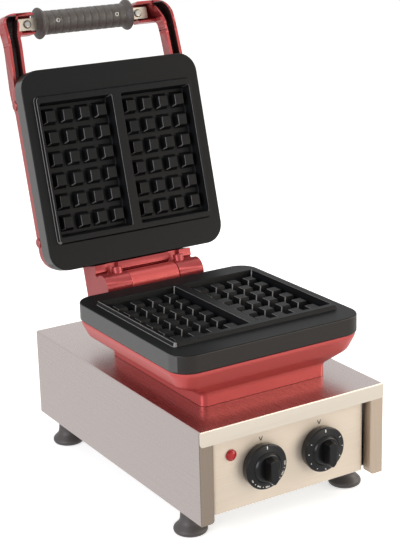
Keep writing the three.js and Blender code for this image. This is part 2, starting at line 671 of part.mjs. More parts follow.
function controlPanel() {
  const wingEnd = PANEL_RECESS + PANEL_WING_DEPTH;
  const outer = rectangle(
    -PANEL_HALF_WIDTH, PANEL_HALF_WIDTH, PANEL_RECESS, wingEnd, PANEL_FOLD_RADIUS, 0);
  const inner = rectangle(
    SHEET - PANEL_HALF_WIDTH, PANEL_HALF_WIDTH - SHEET, PANEL_BACK, wingEnd + OVERRUN,
    PANEL_FOLD_RADIUS - SHEET, 0);
  const drill = (radius, x, z) =>
    rod(radius, PANEL_RECESS - OVERRUN, PANEL_BACK + OVERRUN, "y", ROUND).translate(x, 0, z);
  return cut(
    upright(outer, PANEL_BOTTOM, PANEL_TOP),
    upright(inner, PANEL_BOTTOM - OVERRUN, PANEL_TOP + OVERRUN),
    drill(SHAFT_HOLE_RADIUS, -KNOB_X, KNOB_Z),
    drill(SHAFT_HOLE_RADIUS, KNOB_X, KNOB_Z),
    drill(LAMP_BARREL_RADIUS + RUNNING, LAMP_X, LAMP_Z));
}

function rearPanel() {
  const outer = rectangle(-SHELL_INSIDE, SHELL_INSIDE, REAR_BOTTOM, PANEL_TOP, 0, FOLD_RADIUS);
  const inner = rectangle(
    SHEET - SHELL_INSIDE, SHELL_INSIDE - SHEET, REAR_BOTTOM + SHEET, PANEL_TOP - SHEET, 0);
  const drill = (radius, x, z) =>
    rod(radius, REAR_INSIDE - OVERRUN, REAR_FACE + OVERRUN, "y", ROUND).translate(x, 0, z);
  const vents = [];
  for (let i = 0; i < VENT_COUNT; i++) {
    const x = VENT_CENTRE_X + (i - (VENT_COUNT - 1) / 2) * VENT_PITCH;
    const slot = rectangle(
      x - VENT_WIDTH / 2, x + VENT_WIDTH / 2, VENT_CENTRE_Z - VENT_HEIGHT / 2,
      VENT_CENTRE_Z + VENT_HEIGHT / 2, 0);
    vents.push(backward(slot, REAR_INSIDE - OVERRUN, REAR_FACE + OVERRUN));
  }
  return cut(
    backward(outer, REAR_INSIDE - REAR_FLANGE_DEPTH, REAR_FACE),
    backward(inner, REAR_INSIDE - REAR_FLANGE_DEPTH - OVERRUN, REAR_INSIDE),
    drill(GLAND_THREAD_RADIUS + RUNNING, GLAND_X, GLAND_Z),
    drill(EARTH_STUD_RADIUS + RUNNING, EARTH_X, EARTH_Z),
    ...vents);
}

// Feet

function footPlaces() {
  const rear = HOUSING_DEPTH - FOOT_REAR_INSET;
  return [[-FOOT_X, FOOT_FRONT_Y], [FOOT_X, FOOT_FRONT_Y], [-FOOT_X, rear], [FOOT_X, rear]];
}

function foot() {
  const top = FOOT_HEIGHT - SEAT;
  const flare = FOOT_RADIUS - FOOT_WAIST_RADIUS;
  const waist = (FOOT_RIM_HEIGHT + top) / 2;
  const hole = FOOT_SCREW_RADIUS + RUNNING;
  return turned([
    [FOOT_RECESS_RADIUS, 0],
    [FOOT_RADIUS - SHEET, 0],
    [FOOT_RADIUS, SHEET],
    [FOOT_RADIUS, FOOT_RIM_HEIGHT],
    [FOOT_WAIST_RADIUS + flare / 2, (FOOT_RIM_HEIGHT + waist) / 2],
    [FOOT_WAIST_RADIUS, waist],
    [FOOT_TOP_RADIUS, top],
    [hole, top],
    [hole, FOOT_RECESS_DEPTH],
    [FOOT_RECESS_RADIUS, FOOT_RECESS_DEPTH],
    [FOOT_RECESS_RADIUS, 0],
  ], "z", ROUND);
}

// A pan head screw pointing up, its head's underside at z = 0
function panScrew(radius, headRadius, headHeight, length) {
  const crown = headHeight / 3;
  return turned([
    [0, -headHeight],
    [headRadius - crown, -headHeight],
    [headRadius, crown - headHeight],
    [headRadius, 0],
    [radius, 0],
    [radius, length],
    [0, length],
  ], "z", SMALL);
}

function feet() {
  const names = ["front_left", "front_right", "rear_left", "rear_right"];
  const screwLength = BOTTOM_TOP + CLINCH_NUT_HEIGHT - FOOT_RECESS_DEPTH;
  return footPlaces().flatMap(([x, y], i) => {
    const body = piece(`foot_${names[i]}`, foot(), footMoulding());
    const screw = panScrew(FOOT_SCREW_RADIUS, FOOT_SCREW_HEAD_RADIUS, FOOT_SCREW_HEAD_HEIGHT, screwLength);
    const fixing = piece(`foot_screw_${names[i]}`, screw, zincSteel());
    body.position.set(x, y, 0);
    fixing.position.set(x, y, FOOT_RECESS_DEPTH - SEAT);
    return [body, fixing];
  });
}

// Controls

function knob() {
  const front = KNOB_HEIGHT;
  const dial = turned([
    [0, 0],
    [KNOB_BASE_RADIUS, 0],
    [KNOB_SKIRT_RADIUS, KNOB_SKIRT_HEIGHT],
    [KNOB_HUB_RADIUS, KNOB_HUB_HEIGHT],
    [0, KNOB_HUB_HEIGHT],
  ], "z", FINE);
  const half = KNOB_BAR_WIDTH / 2;
  const bar = new THREE.Shape();
  bar.moveTo(-half, KNOB_BAR_TOP - half);
  bar.lineTo(-half, half - KNOB_BAR_TIP);
  bar.lineTo(0, -KNOB_BAR_TIP);
  bar.lineTo(half, half - KNOB_BAR_TIP);
  bar.lineTo(half, KNOB_BAR_TOP - half);
  bar.absarc(0, KNOB_BAR_TOP - half, half, 0, Math.PI);
  const hollow = KNOB_HOLLOW_DEPTH - OVERRUN;
  const socket = SHAFT_GRIP_DEPTH + KNOB_HOLLOW_DEPTH;
  const boss = KNOB_HUB_RADIUS / 2;
  const ring = turned([
    [boss, -OVERRUN],
    [KNOB_HOLLOW_RADIUS, -OVERRUN],
    [KNOB_HOLLOW_RADIUS, hollow],
    [KNOB_HUB_RADIUS, KNOB_HOLLOW_DEPTH],
    [boss, KNOB_HOLLOW_DEPTH],
    [boss, -OVERRUN],
  ], "z", ROUND);
  const shaftHole = rod(SHAFT_RADIUS + RUNNING, -OVERRUN, socket, "z", SMALL);
  return cut(join(dial, upright(bar, KNOB_HUB_HEIGHT - KNOB_HUB_HEIGHT / 4, front)), ring, shaftHole);
}

function shaft() {
  const inside = KNOB_HOLLOW_DEPTH + SHAFT_GRIP_DEPTH - SEAT;
  return rod(SHAFT_RADIUS, -(KNOB_GAP + SHEET + SEAT + SHAFT_TAIL), inside, "z", SMALL);
}

// Knob and shaft point out of the panel, with the knob's tip down at rest
function controlSet(name, x) {
  const set = new THREE.Group();
  set.add(piece(`${name}_knob`, knob(), blackMoulding()));
  set.add(piece(`${name}_shaft`, shaft(), zincSteel()));
  set.position.set(x, PANEL_RECESS - KNOB_GAP, KNOB_Z);
  set.rotation.x = Math.PI / 2;
  return set;
}

// A switch body behind the panel, bored for its shaft
function switchBody(x, size, depth) {
  const back = PANEL_BACK + SEAT;
  const half = size / 2;
  const outline = rectangle(x - half, x + half, KNOB_Z - half, KNOB_Z + half, CONTROL_FLANGE);
  const frame = backward(outline, back + BUSH_LENGTH, back + BUSH_LENGTH + depth);
  const bush = rod(BUSH_RADIUS, PANEL_RECESS + SEAT, back + BUSH_LENGTH + SEAT, "y", ROUND)
    .translate(x, 0, KNOB_Z);
  const plate = block(
    x - half / 2, x + half / 2, back, back + BUSH_LENGTH + SEAT, KNOB_Z - half / 2, KNOB_Z + half / 2);
  const bore = rod(
    SHAFT_RADIUS + RUNNING, PANEL_RECESS - OVERRUN, PANEL_BACK + 2 * SEAT + SHAFT_TAIL, "y", SMALL)
    .translate(x, 0, KNOB_Z);
  const end = back + BUSH_LENGTH + depth;
  const spades = [-1, 1].map((side) => {
    const middle = x + side * half / 2;
    return block(
      middle - SPADE_WIDTH / 2, middle + SPADE_WIDTH / 2, end - SEAT, end + SPADE_LENGTH,
      KNOB_Z - SPADE_THICK / 2, KNOB_Z + SPADE_THICK / 2);
  });
  return cut(join(frame, plate, bush, ...spades), bore);
}

function lampLens() {
  const seat = PANEL_RECESS - SEAT;
  return turned([
    [0, seat - LAMP_LENS_HEIGHT],
    [LAMP_LENS_RADIUS / 2, seat - LAMP_LENS_HEIGHT + LAMP_RIM_HEIGHT / 2],
    [LAMP_LENS_RADIUS - LAMP_RIM_HEIGHT / 2, seat - LAMP_RIM_HEIGHT],
    [LAMP_LENS_RADIUS, seat - LAMP_RIM_HEIGHT],
    [LAMP_LENS_RADIUS, seat],
    [LAMP_BARREL_RADIUS, seat],
    [LAMP_BARREL_RADIUS, seat + LAMP_STEM_LENGTH],
    [0, seat + LAMP_STEM_LENGTH],
  ], "y", ROUND).translate(LAMP_X, 0, LAMP_Z);
}

function lampBody() {
  const start = PANEL_RECESS + LAMP_STEM_LENGTH;
  return turned([
    [0, start],
    [LAMP_LENS_RADIUS, start],
    [LAMP_LENS_RADIUS, start + LAMP_RIM_HEIGHT],
    [LAMP_BARREL_RADIUS, start + LAMP_RIM_HEIGHT],
    [LAMP_BARREL_RADIUS, start + LAMP_BARREL_LENGTH],
    [0, start + LAMP_BARREL_LENGTH],
  ], "y", SMALL).translate(LAMP_X, 0, LAMP_Z);
}

// Rear fittings

function cableGland() {
  const face = REAR_FACE + SEAT;
  const shoulder = face + GLAND_HEAD_LENGTH;
  const tail = REAR_INSIDE - GLAND_TAIL_LENGTH;
  const nose = (GLAND_DOME_RADIUS + GLAND_BORE_RADIUS) / 2;
  const body = turned([
    [GLAND_BORE_RADIUS, tail],
    [GLAND_THREAD_RADIUS, tail],
    [GLAND_THREAD_RADIUS, face],
    [GLAND_DOME_RADIUS, face],
    [GLAND_DOME_RADIUS, shoulder + GLAND_DOME_LENGTH / 2],
    [nose, shoulder + GLAND_DOME_LENGTH],
    [GLAND_BORE_RADIUS, shoulder + GLAND_DOME_LENGTH],
    [GLAND_BORE_RADIUS, tail],
  ], "y", ROUND);
  const collar = turned([
    [GLAND_THREAD_RADIUS, face],
    [GLAND_HEAD_RADIUS, face],
    [GLAND_HEAD_RADIUS, shoulder],
    [GLAND_THREAD_RADIUS, shoulder],
    [GLAND_THREAD_RADIUS, face],
  ], "y", HEX);
  return join(body, collar).translate(GLAND_X, 0, GLAND_Z);
}

function glandNut() {
  const inner = GLAND_THREAD_RADIUS + RUNNING;
  const end = REAR_INSIDE - SEAT;
  return turned([
    [inner, end - GLAND_NUT_LENGTH],
    [GLAND_NUT_RADIUS, end - GLAND_NUT_LENGTH],
    [GLAND_NUT_RADIUS, end],
    [inner, end],
    [inner, end - GLAND_NUT_LENGTH],
  ], "y", ROUND).translate(GLAND_X, 0, GLAND_Z);
}

function terminalBlock() {
  const low = BOTTOM_TOP + SEAT;
  const body = block(
    GLAND_X - TERMINAL_LENGTH / 2, GLAND_X + TERMINAL_LENGTH / 2, TERMINAL_Y, TERMINAL_Y + TERMINAL_DEPTH,
    low, low + TERMINAL_HEIGHT);
  const wells = [];
  const pitch = TERMINAL_LENGTH / TERMINAL_POLES;
  for (let i = 0; i < TERMINAL_POLES; i++) {
    const x = GLAND_X + (i - (TERMINAL_POLES - 1) / 2) * pitch;
    const depth = low + TERMINAL_HEIGHT - TERMINAL_SCREW_DEPTH;
    wells.push(rod(TERMINAL_SCREW_RADIUS, depth, low + TERMINAL_HEIGHT + OVERRUN, "z", SMALL)
      .translate(x, TERMINAL_Y + TERMINAL_DEPTH / 2, 0));
  }
  return cut(body, ...wells);
}

function earthStud() {
  const outer = REAR_FACE + SEAT;
  const inner = REAR_INSIDE - SEAT;
  const stem = rod(EARTH_STUD_RADIUS, inner - EARTH_NUT_LENGTH, outer + EARTH_STUD_LENGTH, "y", SMALL);
  const outerNut = rod(EARTH_NUT_RADIUS, outer, outer + EARTH_NUT_LENGTH, "y", HEX);
  const innerNut = rod(EARTH_NUT_RADIUS, inner - EARTH_NUT_LENGTH, inner, "y", HEX);
  return join(stem, outerNut, innerNut).translate(EARTH_X, 0, EARTH_Z);
}

// Cooking set: plate, element, clamp and screws, drawn with the plate's face at z = 0

function padOutline(inset) {
  return [PAD_HALF_WIDTH - inset, PAD_FRONT - PLATE_MIDDLE + inset, PAD_BACK - PLATE_MIDDLE - inset];
}

function cavity(side) {
  const left = side > 0 ? RIB_HALF_WIDTH : -RIB_HALF_WIDTH - CAVITY_WIDTH;
  const middleX = left + CAVITY_WIDTH / 2;
  const middleY = CAVITY_FRONT + CAVITY_LENGTH / 2 - PLATE_MIDDLE;
  const floor = PAD_HEIGHT - CAVITY_DEPTH;
  const inset = CAVITY_DRAFT * OVERRUN / CAVITY_DEPTH;
  const basin = tapered(
    CAVITY_WIDTH / 2 + inset, CAVITY_LENGTH / 2 + inset, CAVITY_DRAFT + inset,
    -(PAD_HEIGHT + OVERRUN), CAVITY_DEPTH - PAD_HEIGHT);
  const hollow = basin.rotate([180, 0, 0]).translate(middleX, middleY, 0);
  const pegTop = PAD_HEIGHT - PEG_SINK;
  const pitchX = (CAVITY_WIDTH - 2 * PEG_WALL_ACROSS + PEG_GAP_ACROSS) / PEG_COLUMNS;
  const pitchY = (CAVITY_LENGTH - 2 * PEG_WALL_ALONG + PEG_GAP_ALONG) / PEG_ROWS;
  const halfX = (pitchX - PEG_GAP_ACROSS) / 2;
  const halfY = (pitchY - PEG_GAP_ALONG) / 2;
  const pegs = [];
  for (let column = 0; column < PEG_COLUMNS; column++) {
    for (let row = 0; row < PEG_ROWS; row++) {
      const x = middleX + (column - (PEG_COLUMNS - 1) / 2) * pitchX;
      const y = middleY + (row - (PEG_ROWS - 1) / 2) * pitchY;
      pegs.push(tapered(halfX, halfY, PEG_DRAFT, floor - SEAT, pegTop).translate(x, y, 0));
    }
  }
  return { hollow, pegs };
}

function clampScrewPlaces() {
  return [[-CLAMP_BOSS_X, -CLAMP_BOSS_Y], [CLAMP_BOSS_X, CLAMP_BOSS_Y]];
}

function wafflePlate() {
  const outline = rectangle(
    -PLATE_HALF_WIDTH, PLATE_HALF_WIDTH, -PLATE_HALF_LENGTH, PLATE_HALF_LENGTH, PLATE_CORNER_RADIUS);
  const slab = upright(outline, -PLATE_THICKNESS, 0);
  const pad = loft([
    level(...padOutline(0), PAD_CORNER_RADIUS, -PAD_HEIGHT),
    level(...padOutline(0), PAD_CORNER_RADIUS, 0),
    level(...padOutline(PAD_DRAFT), PAD_CORNER_RADIUS, PAD_HEIGHT),
  ]);
  const bosses = clampScrewPlaces().map(([x, y]) =>
    rod(CLAMP_BOSS_RADIUS, SEAT - CLAMP_DROP, -PLATE_THICKNESS + OVERRUN, "z", SMALL).translate(x, y, 0));
  const threads = clampScrewPlaces().map(([x, y]) =>
    rod(CLAMP_SCREW_RADIUS + RUNNING, -CLAMP_DROP - OVERRUN, CLAMP_SCREW_DEPTH - CLAMP_DROP, "z", SMALL)
      .translate(x, y, 0));
  const cavities = [cavity(-1), cavity(1)];
  const body = cut(join(slab, pad, ...bosses), ...cavities.map((c) => c.hollow), ...threads);
  return join(body, ...cavities.flatMap((c) => c.pegs));
}

function heatingElement(legLength) {
  const z = -ELEMENT_DROP;
  const at = (x, y, drop = 0) => new THREE.Vector3(x, y, z - drop);
  const corners = [
    at(-ELEMENT_LEG_X, 0, legLength),
    at(-ELEMENT_LEG_X, 0),
    at(-ELEMENT_LEG_X, -ELEMENT_HALF_LENGTH),
    at(-ELEMENT_HALF_WIDTH, -ELEMENT_HALF_LENGTH),
    at(-ELEMENT_HALF_WIDTH, ELEMENT_HALF_LENGTH),
    at(ELEMENT_HALF_WIDTH, ELEMENT_HALF_LENGTH),
    at(ELEMENT_HALF_WIDTH, -ELEMENT_HALF_LENGTH),
    at(ELEMENT_LEG_X, -ELEMENT_HALF_LENGTH),
    at(ELEMENT_LEG_X, 0),
    at(ELEMENT_LEG_X, 0, legLength),
  ];
  const bend = Math.min(ELEMENT_BEND, legLength, ELEMENT_HALF_LENGTH / 2);
  return bentRod(corners, Math.min(bend, ELEMENT_LEG_X), ELEMENT_RADIUS, ELEMENT_STEPS, ELEMENT_SIDES);
}

function clampSheet() {
  const outline = rectangle(
    -CLAMP_HALF_WIDTH, CLAMP_HALF_WIDTH, -CLAMP_HALF_LENGTH, CLAMP_HALF_LENGTH, CLAMP_CORNER_RADIUS);
  const holes = clampScrewPlaces().map(([x, y]) =>
    rod(CLAMP_SCREW_RADIUS + RUNNING, -CLAMP_DROP - CLAMP_THICKNESS - OVERRUN, OVERRUN, "z", SMALL)
      .translate(x, y, 0));
  const window = rod(CLAMP_HOLE_RADIUS, -CLAMP_DROP - CLAMP_THICKNESS - OVERRUN, OVERRUN, "z", ROUND);
  return cut(upright(outline, -CLAMP_DROP - CLAMP_THICKNESS, -CLAMP_DROP), window, ...holes);
}

function cookingSet(name, legLength) {
  const set = new THREE.Group();
  set.add(piece(`${name}_plate`, wafflePlate(), coatedIron()));
  set.add(piece(`${name}_element`, heatingElement(legLength), elementSheath()));
  set.add(piece(`${name}_clamp`, clampSheet(), zincSteel()));
  const length = CLAMP_THICKNESS + CLAMP_SCREW_DEPTH;
  clampScrewPlaces().forEach(([x, y], i) => {
    const screw = panScrew(CLAMP_SCREW_RADIUS, CLAMP_SCREW_HEAD_RADIUS, CLAMP_SCREW_HEAD_HEIGHT, length);
    const fixing = piece(`${name}_clamp_screw_${i + 1}`, screw, zincSteel());
    fixing.position.set(x, y, -CLAMP_DROP - CLAMP_THICKNESS - SEAT);
    set.add(fixing);
  });
  return set;
}

// Thermostat bulb under the lower plate, with its capillary down to the thermostat
function thermostatBulb() {
  const z = LOWER_FACE_Z - PLATE_THICKNESS - SEAT - BULB_RADIUS;
  const start = PLATE_MIDDLE + BULB_START;
  const bulb = rod(BULB_RADIUS, start, start + BULB_LENGTH, "y", SMALL).translate(BULB_X, 0, z);
  const bodyEnd = PANEL_BACK + SEAT + BUSH_LENGTH + THERMOSTAT_DEPTH + SEAT;
  const high = KNOB_Z + THERMOSTAT_SIZE / 4;
  const low = HOUSING_TOP - LIP_HEIGHT;
  const turnY = start - BULB_TURN;
  const corners = [
    [-KNOB_X, bodyEnd, high],
    [-KNOB_X, bodyEnd + THERMOSTAT_DEPTH, high],
    [-KNOB_X, bodyEnd + THERMOSTAT_DEPTH, low],
    [CAPILLARY_X, turnY, low],
    [CAPILLARY_X, turnY, z],
    [BULB_X, turnY, z],
    [BULB_X, start + BULB_RADIUS, z],
  ].map(([x, y, height]) => new THREE.Vector3(x, y, height));
  const capillary = bentRod(corners, BULB_RADIUS, CAPILLARY_RADIUS, CAPILLARY_STEPS, CAPILLARY_SIDES);
  return join(bulb, capillary);
}

// Base casting

function castingBoltPlaces() {
  const front = PEDESTAL_FRONT + CASTING_BOLT_INSET;
  const back = PEDESTAL_BACK - CASTING_BOLT_INSET;
  return [[-CASTING_BOLT_X, front], [CASTING_BOLT_X, front], [-CASTING_BOLT_X, back], [CASTING_BOLT_X, back]];
}

// Outer or inner skin of the pedestal; a positive inset gives the inside of the wall
function pedestalSkin(inset, floor, top) {
  const foot = (z) => level(
    PEDESTAL_HALF_WIDTH - inset, PEDESTAL_FRONT + inset, PEDESTAL_BACK - inset, PEDESTAL_CORNER_RADIUS, z);
  const shoulder = (z) => level(
    PLATE_HALF_WIDTH - SHOULDER_INSET - inset, PLATE_FRONT + SHOULDER_INSET + inset,
    PLATE_BACK - SHOULDER_INSET - inset, SHOULDER_CORNER_RADIUS, z);
  const rim = (z) => level(
    PLATE_HALF_WIDTH - RIM_INSET - inset, PLATE_FRONT + RIM_INSET + inset, PLATE_BACK - RIM_INSET - inset,
    PLATE_CORNER_RADIUS, z);
  return loft([
    foot(floor),
    foot(HOUSING_TOP + PEDESTAL_RISER),
    shoulder(HOUSING_TOP + SHOULDER_RISE),
    rim(RIM_TOP - RIM_LIP),
    rim(top),
  ]);
}

// Where a point of the closed lid, given from the hinge axis, stands when the lid is open
function opened(back, up) {
  const cos = Math.cos(OPEN_ANGLE);
  const sin = Math.sin(OPEN_ANGLE);
  return [HINGE_Y + back * cos + up * sin, HINGE_Z - back * sin + up * cos];
}

function hingeBracket() {
  const blockTop = LID_FACE_Z + BLOCK_TOP - HINGE_Z;
  const ledgeFront = opened(BLOCK_REACH + SEAT, BLOCK_RELIEF);
  const ledgeBack = opened(BLOCK_REACH + SEAT, blockTop - BLOCK_CHAMFER);
  const foot = PEDESTAL_BACK - CASTING_WALL;
  const side = polygon([
    [foot, HOUSING_TOP + SEAT],
    [ledgeBack[0], HOUSING_TOP + SEAT],
    ledgeBack,
    ledgeFront,
    [HINGE_Y + BRACKET_NECK, ledgeFront[1] + SEAT],
    [HINGE_Y + BRACKET_NECK, HINGE_Z],
    [HINGE_Y - BRACKET_NECK, HINGE_Z],
    [HINGE_Y - BRACKET_NECK - BRACKET_DEPTH, RIM_TOP],
    [PLATE_BACK - RIM_INSET - SHEET, RIM_TOP - BRACKET_DEPTH],
    [foot, RIM_TOP - BRACKET_DEPTH],
  ]);
  const web = across(side, -CENTRE_HALF_LENGTH, CENTRE_HALF_LENGTH);
  const knuckle = rod(BARREL_RADIUS, -CENTRE_HALF_LENGTH, CENTRE_HALF_LENGTH, "x", FINE)
    .translate(0, HINGE_Y, HINGE_Z);
  return join(web, knuckle);
}

function baseCasting() {
  const bottom = HOUSING_TOP + SEAT;
  const outside = join(pedestalSkin(0, bottom, RIM_TOP), hingeBracket());
  const inside = pedestalSkin(CASTING_WALL, bottom + CASTING_FLOOR, RIM_TOP + OVERRUN);
  const bore = rod(
    PIN_RADIUS + RUNNING, -CENTRE_HALF_LENGTH - OVERRUN, CENTRE_HALF_LENGTH + OVERRUN, "x", ROUND)
    .translate(0, HINGE_Y, HINGE_Z);
  const wires = rod(WIRE_HOLE_RADIUS, bottom - OVERRUN, bottom + CASTING_FLOOR + OVERRUN)
    .translate(0, PLATE_MIDDLE, 0);
  const threads = castingBoltPlaces().map(([x, y]) =>
    rod(CASTING_BOLT_RADIUS + RUNNING, bottom - OVERRUN, bottom + CASTING_BOLT_THREAD + SEAT, "z", SMALL)
      .translate(x, y, 0));
  return cut(outside, inside, bore, wires, ...threads);
}

function castingBolts() {
  const length = CASTING_BOLT_THREAD + 2 * SEAT + SHEET;
  return castingBoltPlaces().map(([x, y], i) => {
    const head = rod(CASTING_BOLT_HEAD_RADIUS, -CASTING_BOLT_HEAD_HEIGHT, 0, "z", HEX);
    const bolt = join(head, rod(CASTING_BOLT_RADIUS, -CASTING_BOLT_HEAD_HEIGHT, length, "z", SMALL));
    const fixing = piece(`casting_bolt_${i + 1}`, bolt, zincSteel());
    fixing.position.set(x, y, HOUSING_TOP - SHEET - SEAT);
    return fixing;
  });
}

// Lid, drawn closed

// Section of the hinge block, (y, z), with the barrel's place left to the knuckles
function hingeBlockOutline() {
  const top = LID_FACE_Z + BLOCK_TOP;
  const strip = LID_FACE_Z - BLOCK_STRIP_DROP;
  const front = PLATE_BACK + BLOCK_FRONT_GAP;
  const root = LID_FACE_Z + PLATE_THICKNESS + BLOCK_FRONT_GAP;
  const groove = front + BLOCK_STRIP_DEPTH;
  const rear = HINGE_Y + BLOCK_REACH;
  return polygon([
    [front - BLOCK_ROOT, root],
    [front, root],
    [front, strip],
    [groove, strip],
    [groove + BLOCK_GROOVE_WIDTH / 2, strip + BLOCK_GROOVE_RISE],
    [groove + BLOCK_GROOVE_WIDTH, strip],
    [HINGE_Y, HINGE_Z],
    [HINGE_Y + BARREL_RADIUS, HINGE_Z],
    [rear, HINGE_Z + BARREL_RADIUS / 2],
    [rear, top - BLOCK_CHAMFER],
    [rear - BLOCK_CHAMFER, top],
    [front - BLOCK_ROOT, top],
  ]);
}

function hingeBlock() {
  const middle = CENTRE_HALF_LENGTH + KNUCKLE_GAP;
  const body = across(hingeBlockOutline(), -BARREL_HALF_LENGTH, BARREL_HALF_LENGTH);
  const barrel = rod(BARREL_RADIUS, -BARREL_HALF_LENGTH, BARREL_HALF_LENGTH, "x", FINE)
    .translate(0, HINGE_Y, HINGE_Z);
  const bosses = [-1, 1].map((side) =>
    rod(GRUB_BOSS_RADIUS, PLATE_BACK + BLOCK_FRONT_GAP, HINGE_Y, "y", ROUND)
      .translate(side * GRUB_X, 0, HINGE_Z));
  const notches = [-1, 1].map((side) => {
    const x = side * GRUB_X;
    return block(
      x - GRUB_NOTCH_HALF_WIDTH, x + GRUB_NOTCH_HALF_WIDTH, PLATE_BACK - OVERRUN,
      PLATE_BACK + BLOCK_FRONT_GAP + BLOCK_STRIP_DEPTH + BLOCK_GROOVE_WIDTH,
      HINGE_Z, LID_FACE_Z - BLOCK_STRIP_DROP + GRUB_NOTCH_RISE);
  });
  const relief = join(
    rod(BLOCK_RELIEF, -middle, middle, "x", FINE).translate(0, HINGE_Y, HINGE_Z),
    block(-middle, middle, HINGE_Y, HINGE_Y + BLOCK_REACH + OVERRUN, HINGE_Z - BARREL_RADIUS,
      HINGE_Z + BLOCK_RELIEF),
    block(-middle, middle, HINGE_Y - BARREL_RADIUS, HINGE_Y, HINGE_Z - BARREL_RADIUS, HINGE_Z));
  const bore = rod(
    PIN_RADIUS + RUNNING, -BARREL_HALF_LENGTH - OVERRUN, BARREL_HALF_LENGTH + OVERRUN, "x", ROUND)
    .translate(0, HINGE_Y, HINGE_Z);
  const threads = [-1, 1].map((side) =>
    rod(GRUB_RADIUS + RUNNING, PLATE_BACK - OVERRUN, HINGE_Y, "y", SMALL)
      .translate(side * GRUB_X, 0, HINGE_Z));
  return cut(join(cut(body, ...notches), barrel, ...bosses), relief, bore, ...threads);
}

function lidSkin() {
  const base = LID_FACE_Z + PLATE_THICKNESS + SEAT;
  const ring = (inset, height) => level(
    PLATE_HALF_WIDTH - inset, PLATE_FRONT + inset, PLATE_BACK - inset, PLATE_CORNER_RADIUS, height);
  return loft([
    ring(LID_RIM_INSET, base),
    ring(LID_RIM_INSET, LID_FACE_Z + LID_SIDE_HEIGHT),
    ring(LID_SHOULDER_INSET, LID_FACE_Z + LID_SHOULDER_HEIGHT),
    ring(LID_TOP_INSET, LID_FACE_Z + LID_TOP_HEIGHT),
  ]);
}

// Room under the lid casting for the element, its clamp and the screw heads
function lidPocket() {
  const base = LID_FACE_Z + PLATE_THICKNESS;
  const inset = LID_WALL + LID_RIM_INSET;
  const outline = rectangle(
    inset - PLATE_HALF_WIDTH, PLATE_HALF_WIDTH - inset, PLATE_FRONT + inset, PLATE_BACK - inset,
    PLATE_CORNER_RADIUS - LID_WALL);
  const roof = LID_FACE_Z + CLAMP_DROP + CLAMP_THICKNESS + CLAMP_SCREW_HEAD_HEIGHT + LID_POCKET_CLEARANCE;
  const terminals = block(
    -TERMINAL_POCKET_HALF_WIDTH, TERMINAL_POCKET_HALF_WIDTH, PLATE_MIDDLE - TERMINAL_POCKET_HALF_LENGTH,
    PLATE_MIDDLE + TERMINAL_POCKET_HALF_LENGTH, base, LID_FACE_Z + LID_TOP_HEIGHT - TERMINAL_POCKET_ROOF);
  return join(upright(outline, base - OVERRUN, roof), terminals);
}

// Plan of the handle bow on the right, shrunk by an inset for the channels in it
function bowPlan(inset) {
  const outerX = BOW_ARM_END_X - inset;
  const innerX = BOW_ARM_END_X - BOW_ARM_WIDTH + inset;
  const rootOut = BOW_ROOT_X - inset;
  const rootIn = BOW_ROOT_X - BOW_ARM_WIDTH + inset;
  const radius = BOW_OUTER_RADIUS - inset;
  const end = BOW_END_Y + inset;
  const stubTop = BOW_END_Y + BOW_STUB_WIDTH - inset;
  const centreY = BOW_END_Y + BOW_OUTER_RADIUS;
  return { outerX, innerX, rootOut, rootIn, radius, end, stubTop, centreY };
}

function bowOutline() {
  const p = bowPlan(0);
  const shape = new THREE.Shape();
  shape.moveTo(p.rootOut, BOW_ROOT_Y);
  shape.lineTo(p.rootIn, BOW_ROOT_Y);
  shape.lineTo(p.innerX, p.stubTop + BOW_INNER_RADIUS);
  shape.quadraticCurveTo(p.innerX, p.stubTop, p.innerX - BOW_INNER_RADIUS, p.stubTop);
  shape.lineTo(BOW_STUB_X + BOW_CHAMFER, p.stubTop);
  shape.lineTo(BOW_STUB_X, p.stubTop - BOW_CHAMFER);
  shape.lineTo(BOW_STUB_X, p.end + BOW_CHAMFER);
  shape.lineTo(BOW_STUB_X + BOW_CHAMFER, p.end);
  shape.lineTo(p.outerX - p.radius, p.end);
  shape.absarc(p.outerX - p.radius, p.centreY, p.radius, -Math.PI / 2, 0);
  shape.lineTo(p.outerX, BOW_ARM_END_Y);
  return shape;
}

// The arm's channel, which follows the outer rib round the corner
function armChannelOutline() {
  const p = bowPlan(BOW_RIB);
  const startX = BAR_HALF_LENGTH + 2 * SEAT + BOW_RIB + SEAT;
  const cornerX = p.outerX - p.radius;
  const start = -Math.acos((startX - cornerX) / p.radius);
  const shape = new THREE.Shape();
  shape.moveTo(p.rootOut, BOW_ROOT_Y);
  shape.lineTo(p.rootIn, BOW_ROOT_Y);
  shape.lineTo(p.innerX, BOW_ARM_END_Y);
  shape.lineTo(p.innerX, p.stubTop + BOW_RIB);
  shape.lineTo(startX, p.centreY + p.radius * Math.sin(start));
  shape.absarc(cornerX, p.centreY, p.radius, start, 0);
  shape.lineTo(p.outerX, BOW_ARM_END_Y);
  return shape;
}

// The stub's pocket, open at its end, which takes the handle bar
function stubPocketOutline() {
  const p = bowPlan(BOW_RIB);
  return polygon([
    [BOW_STUB_X - OVERRUN, p.end],
    [BAR_HALF_LENGTH + 2 * SEAT, p.end],
    [p.innerX - BOW_RIB, p.stubTop],
    [BOW_STUB_X - OVERRUN, p.stubTop],
  ]);
}

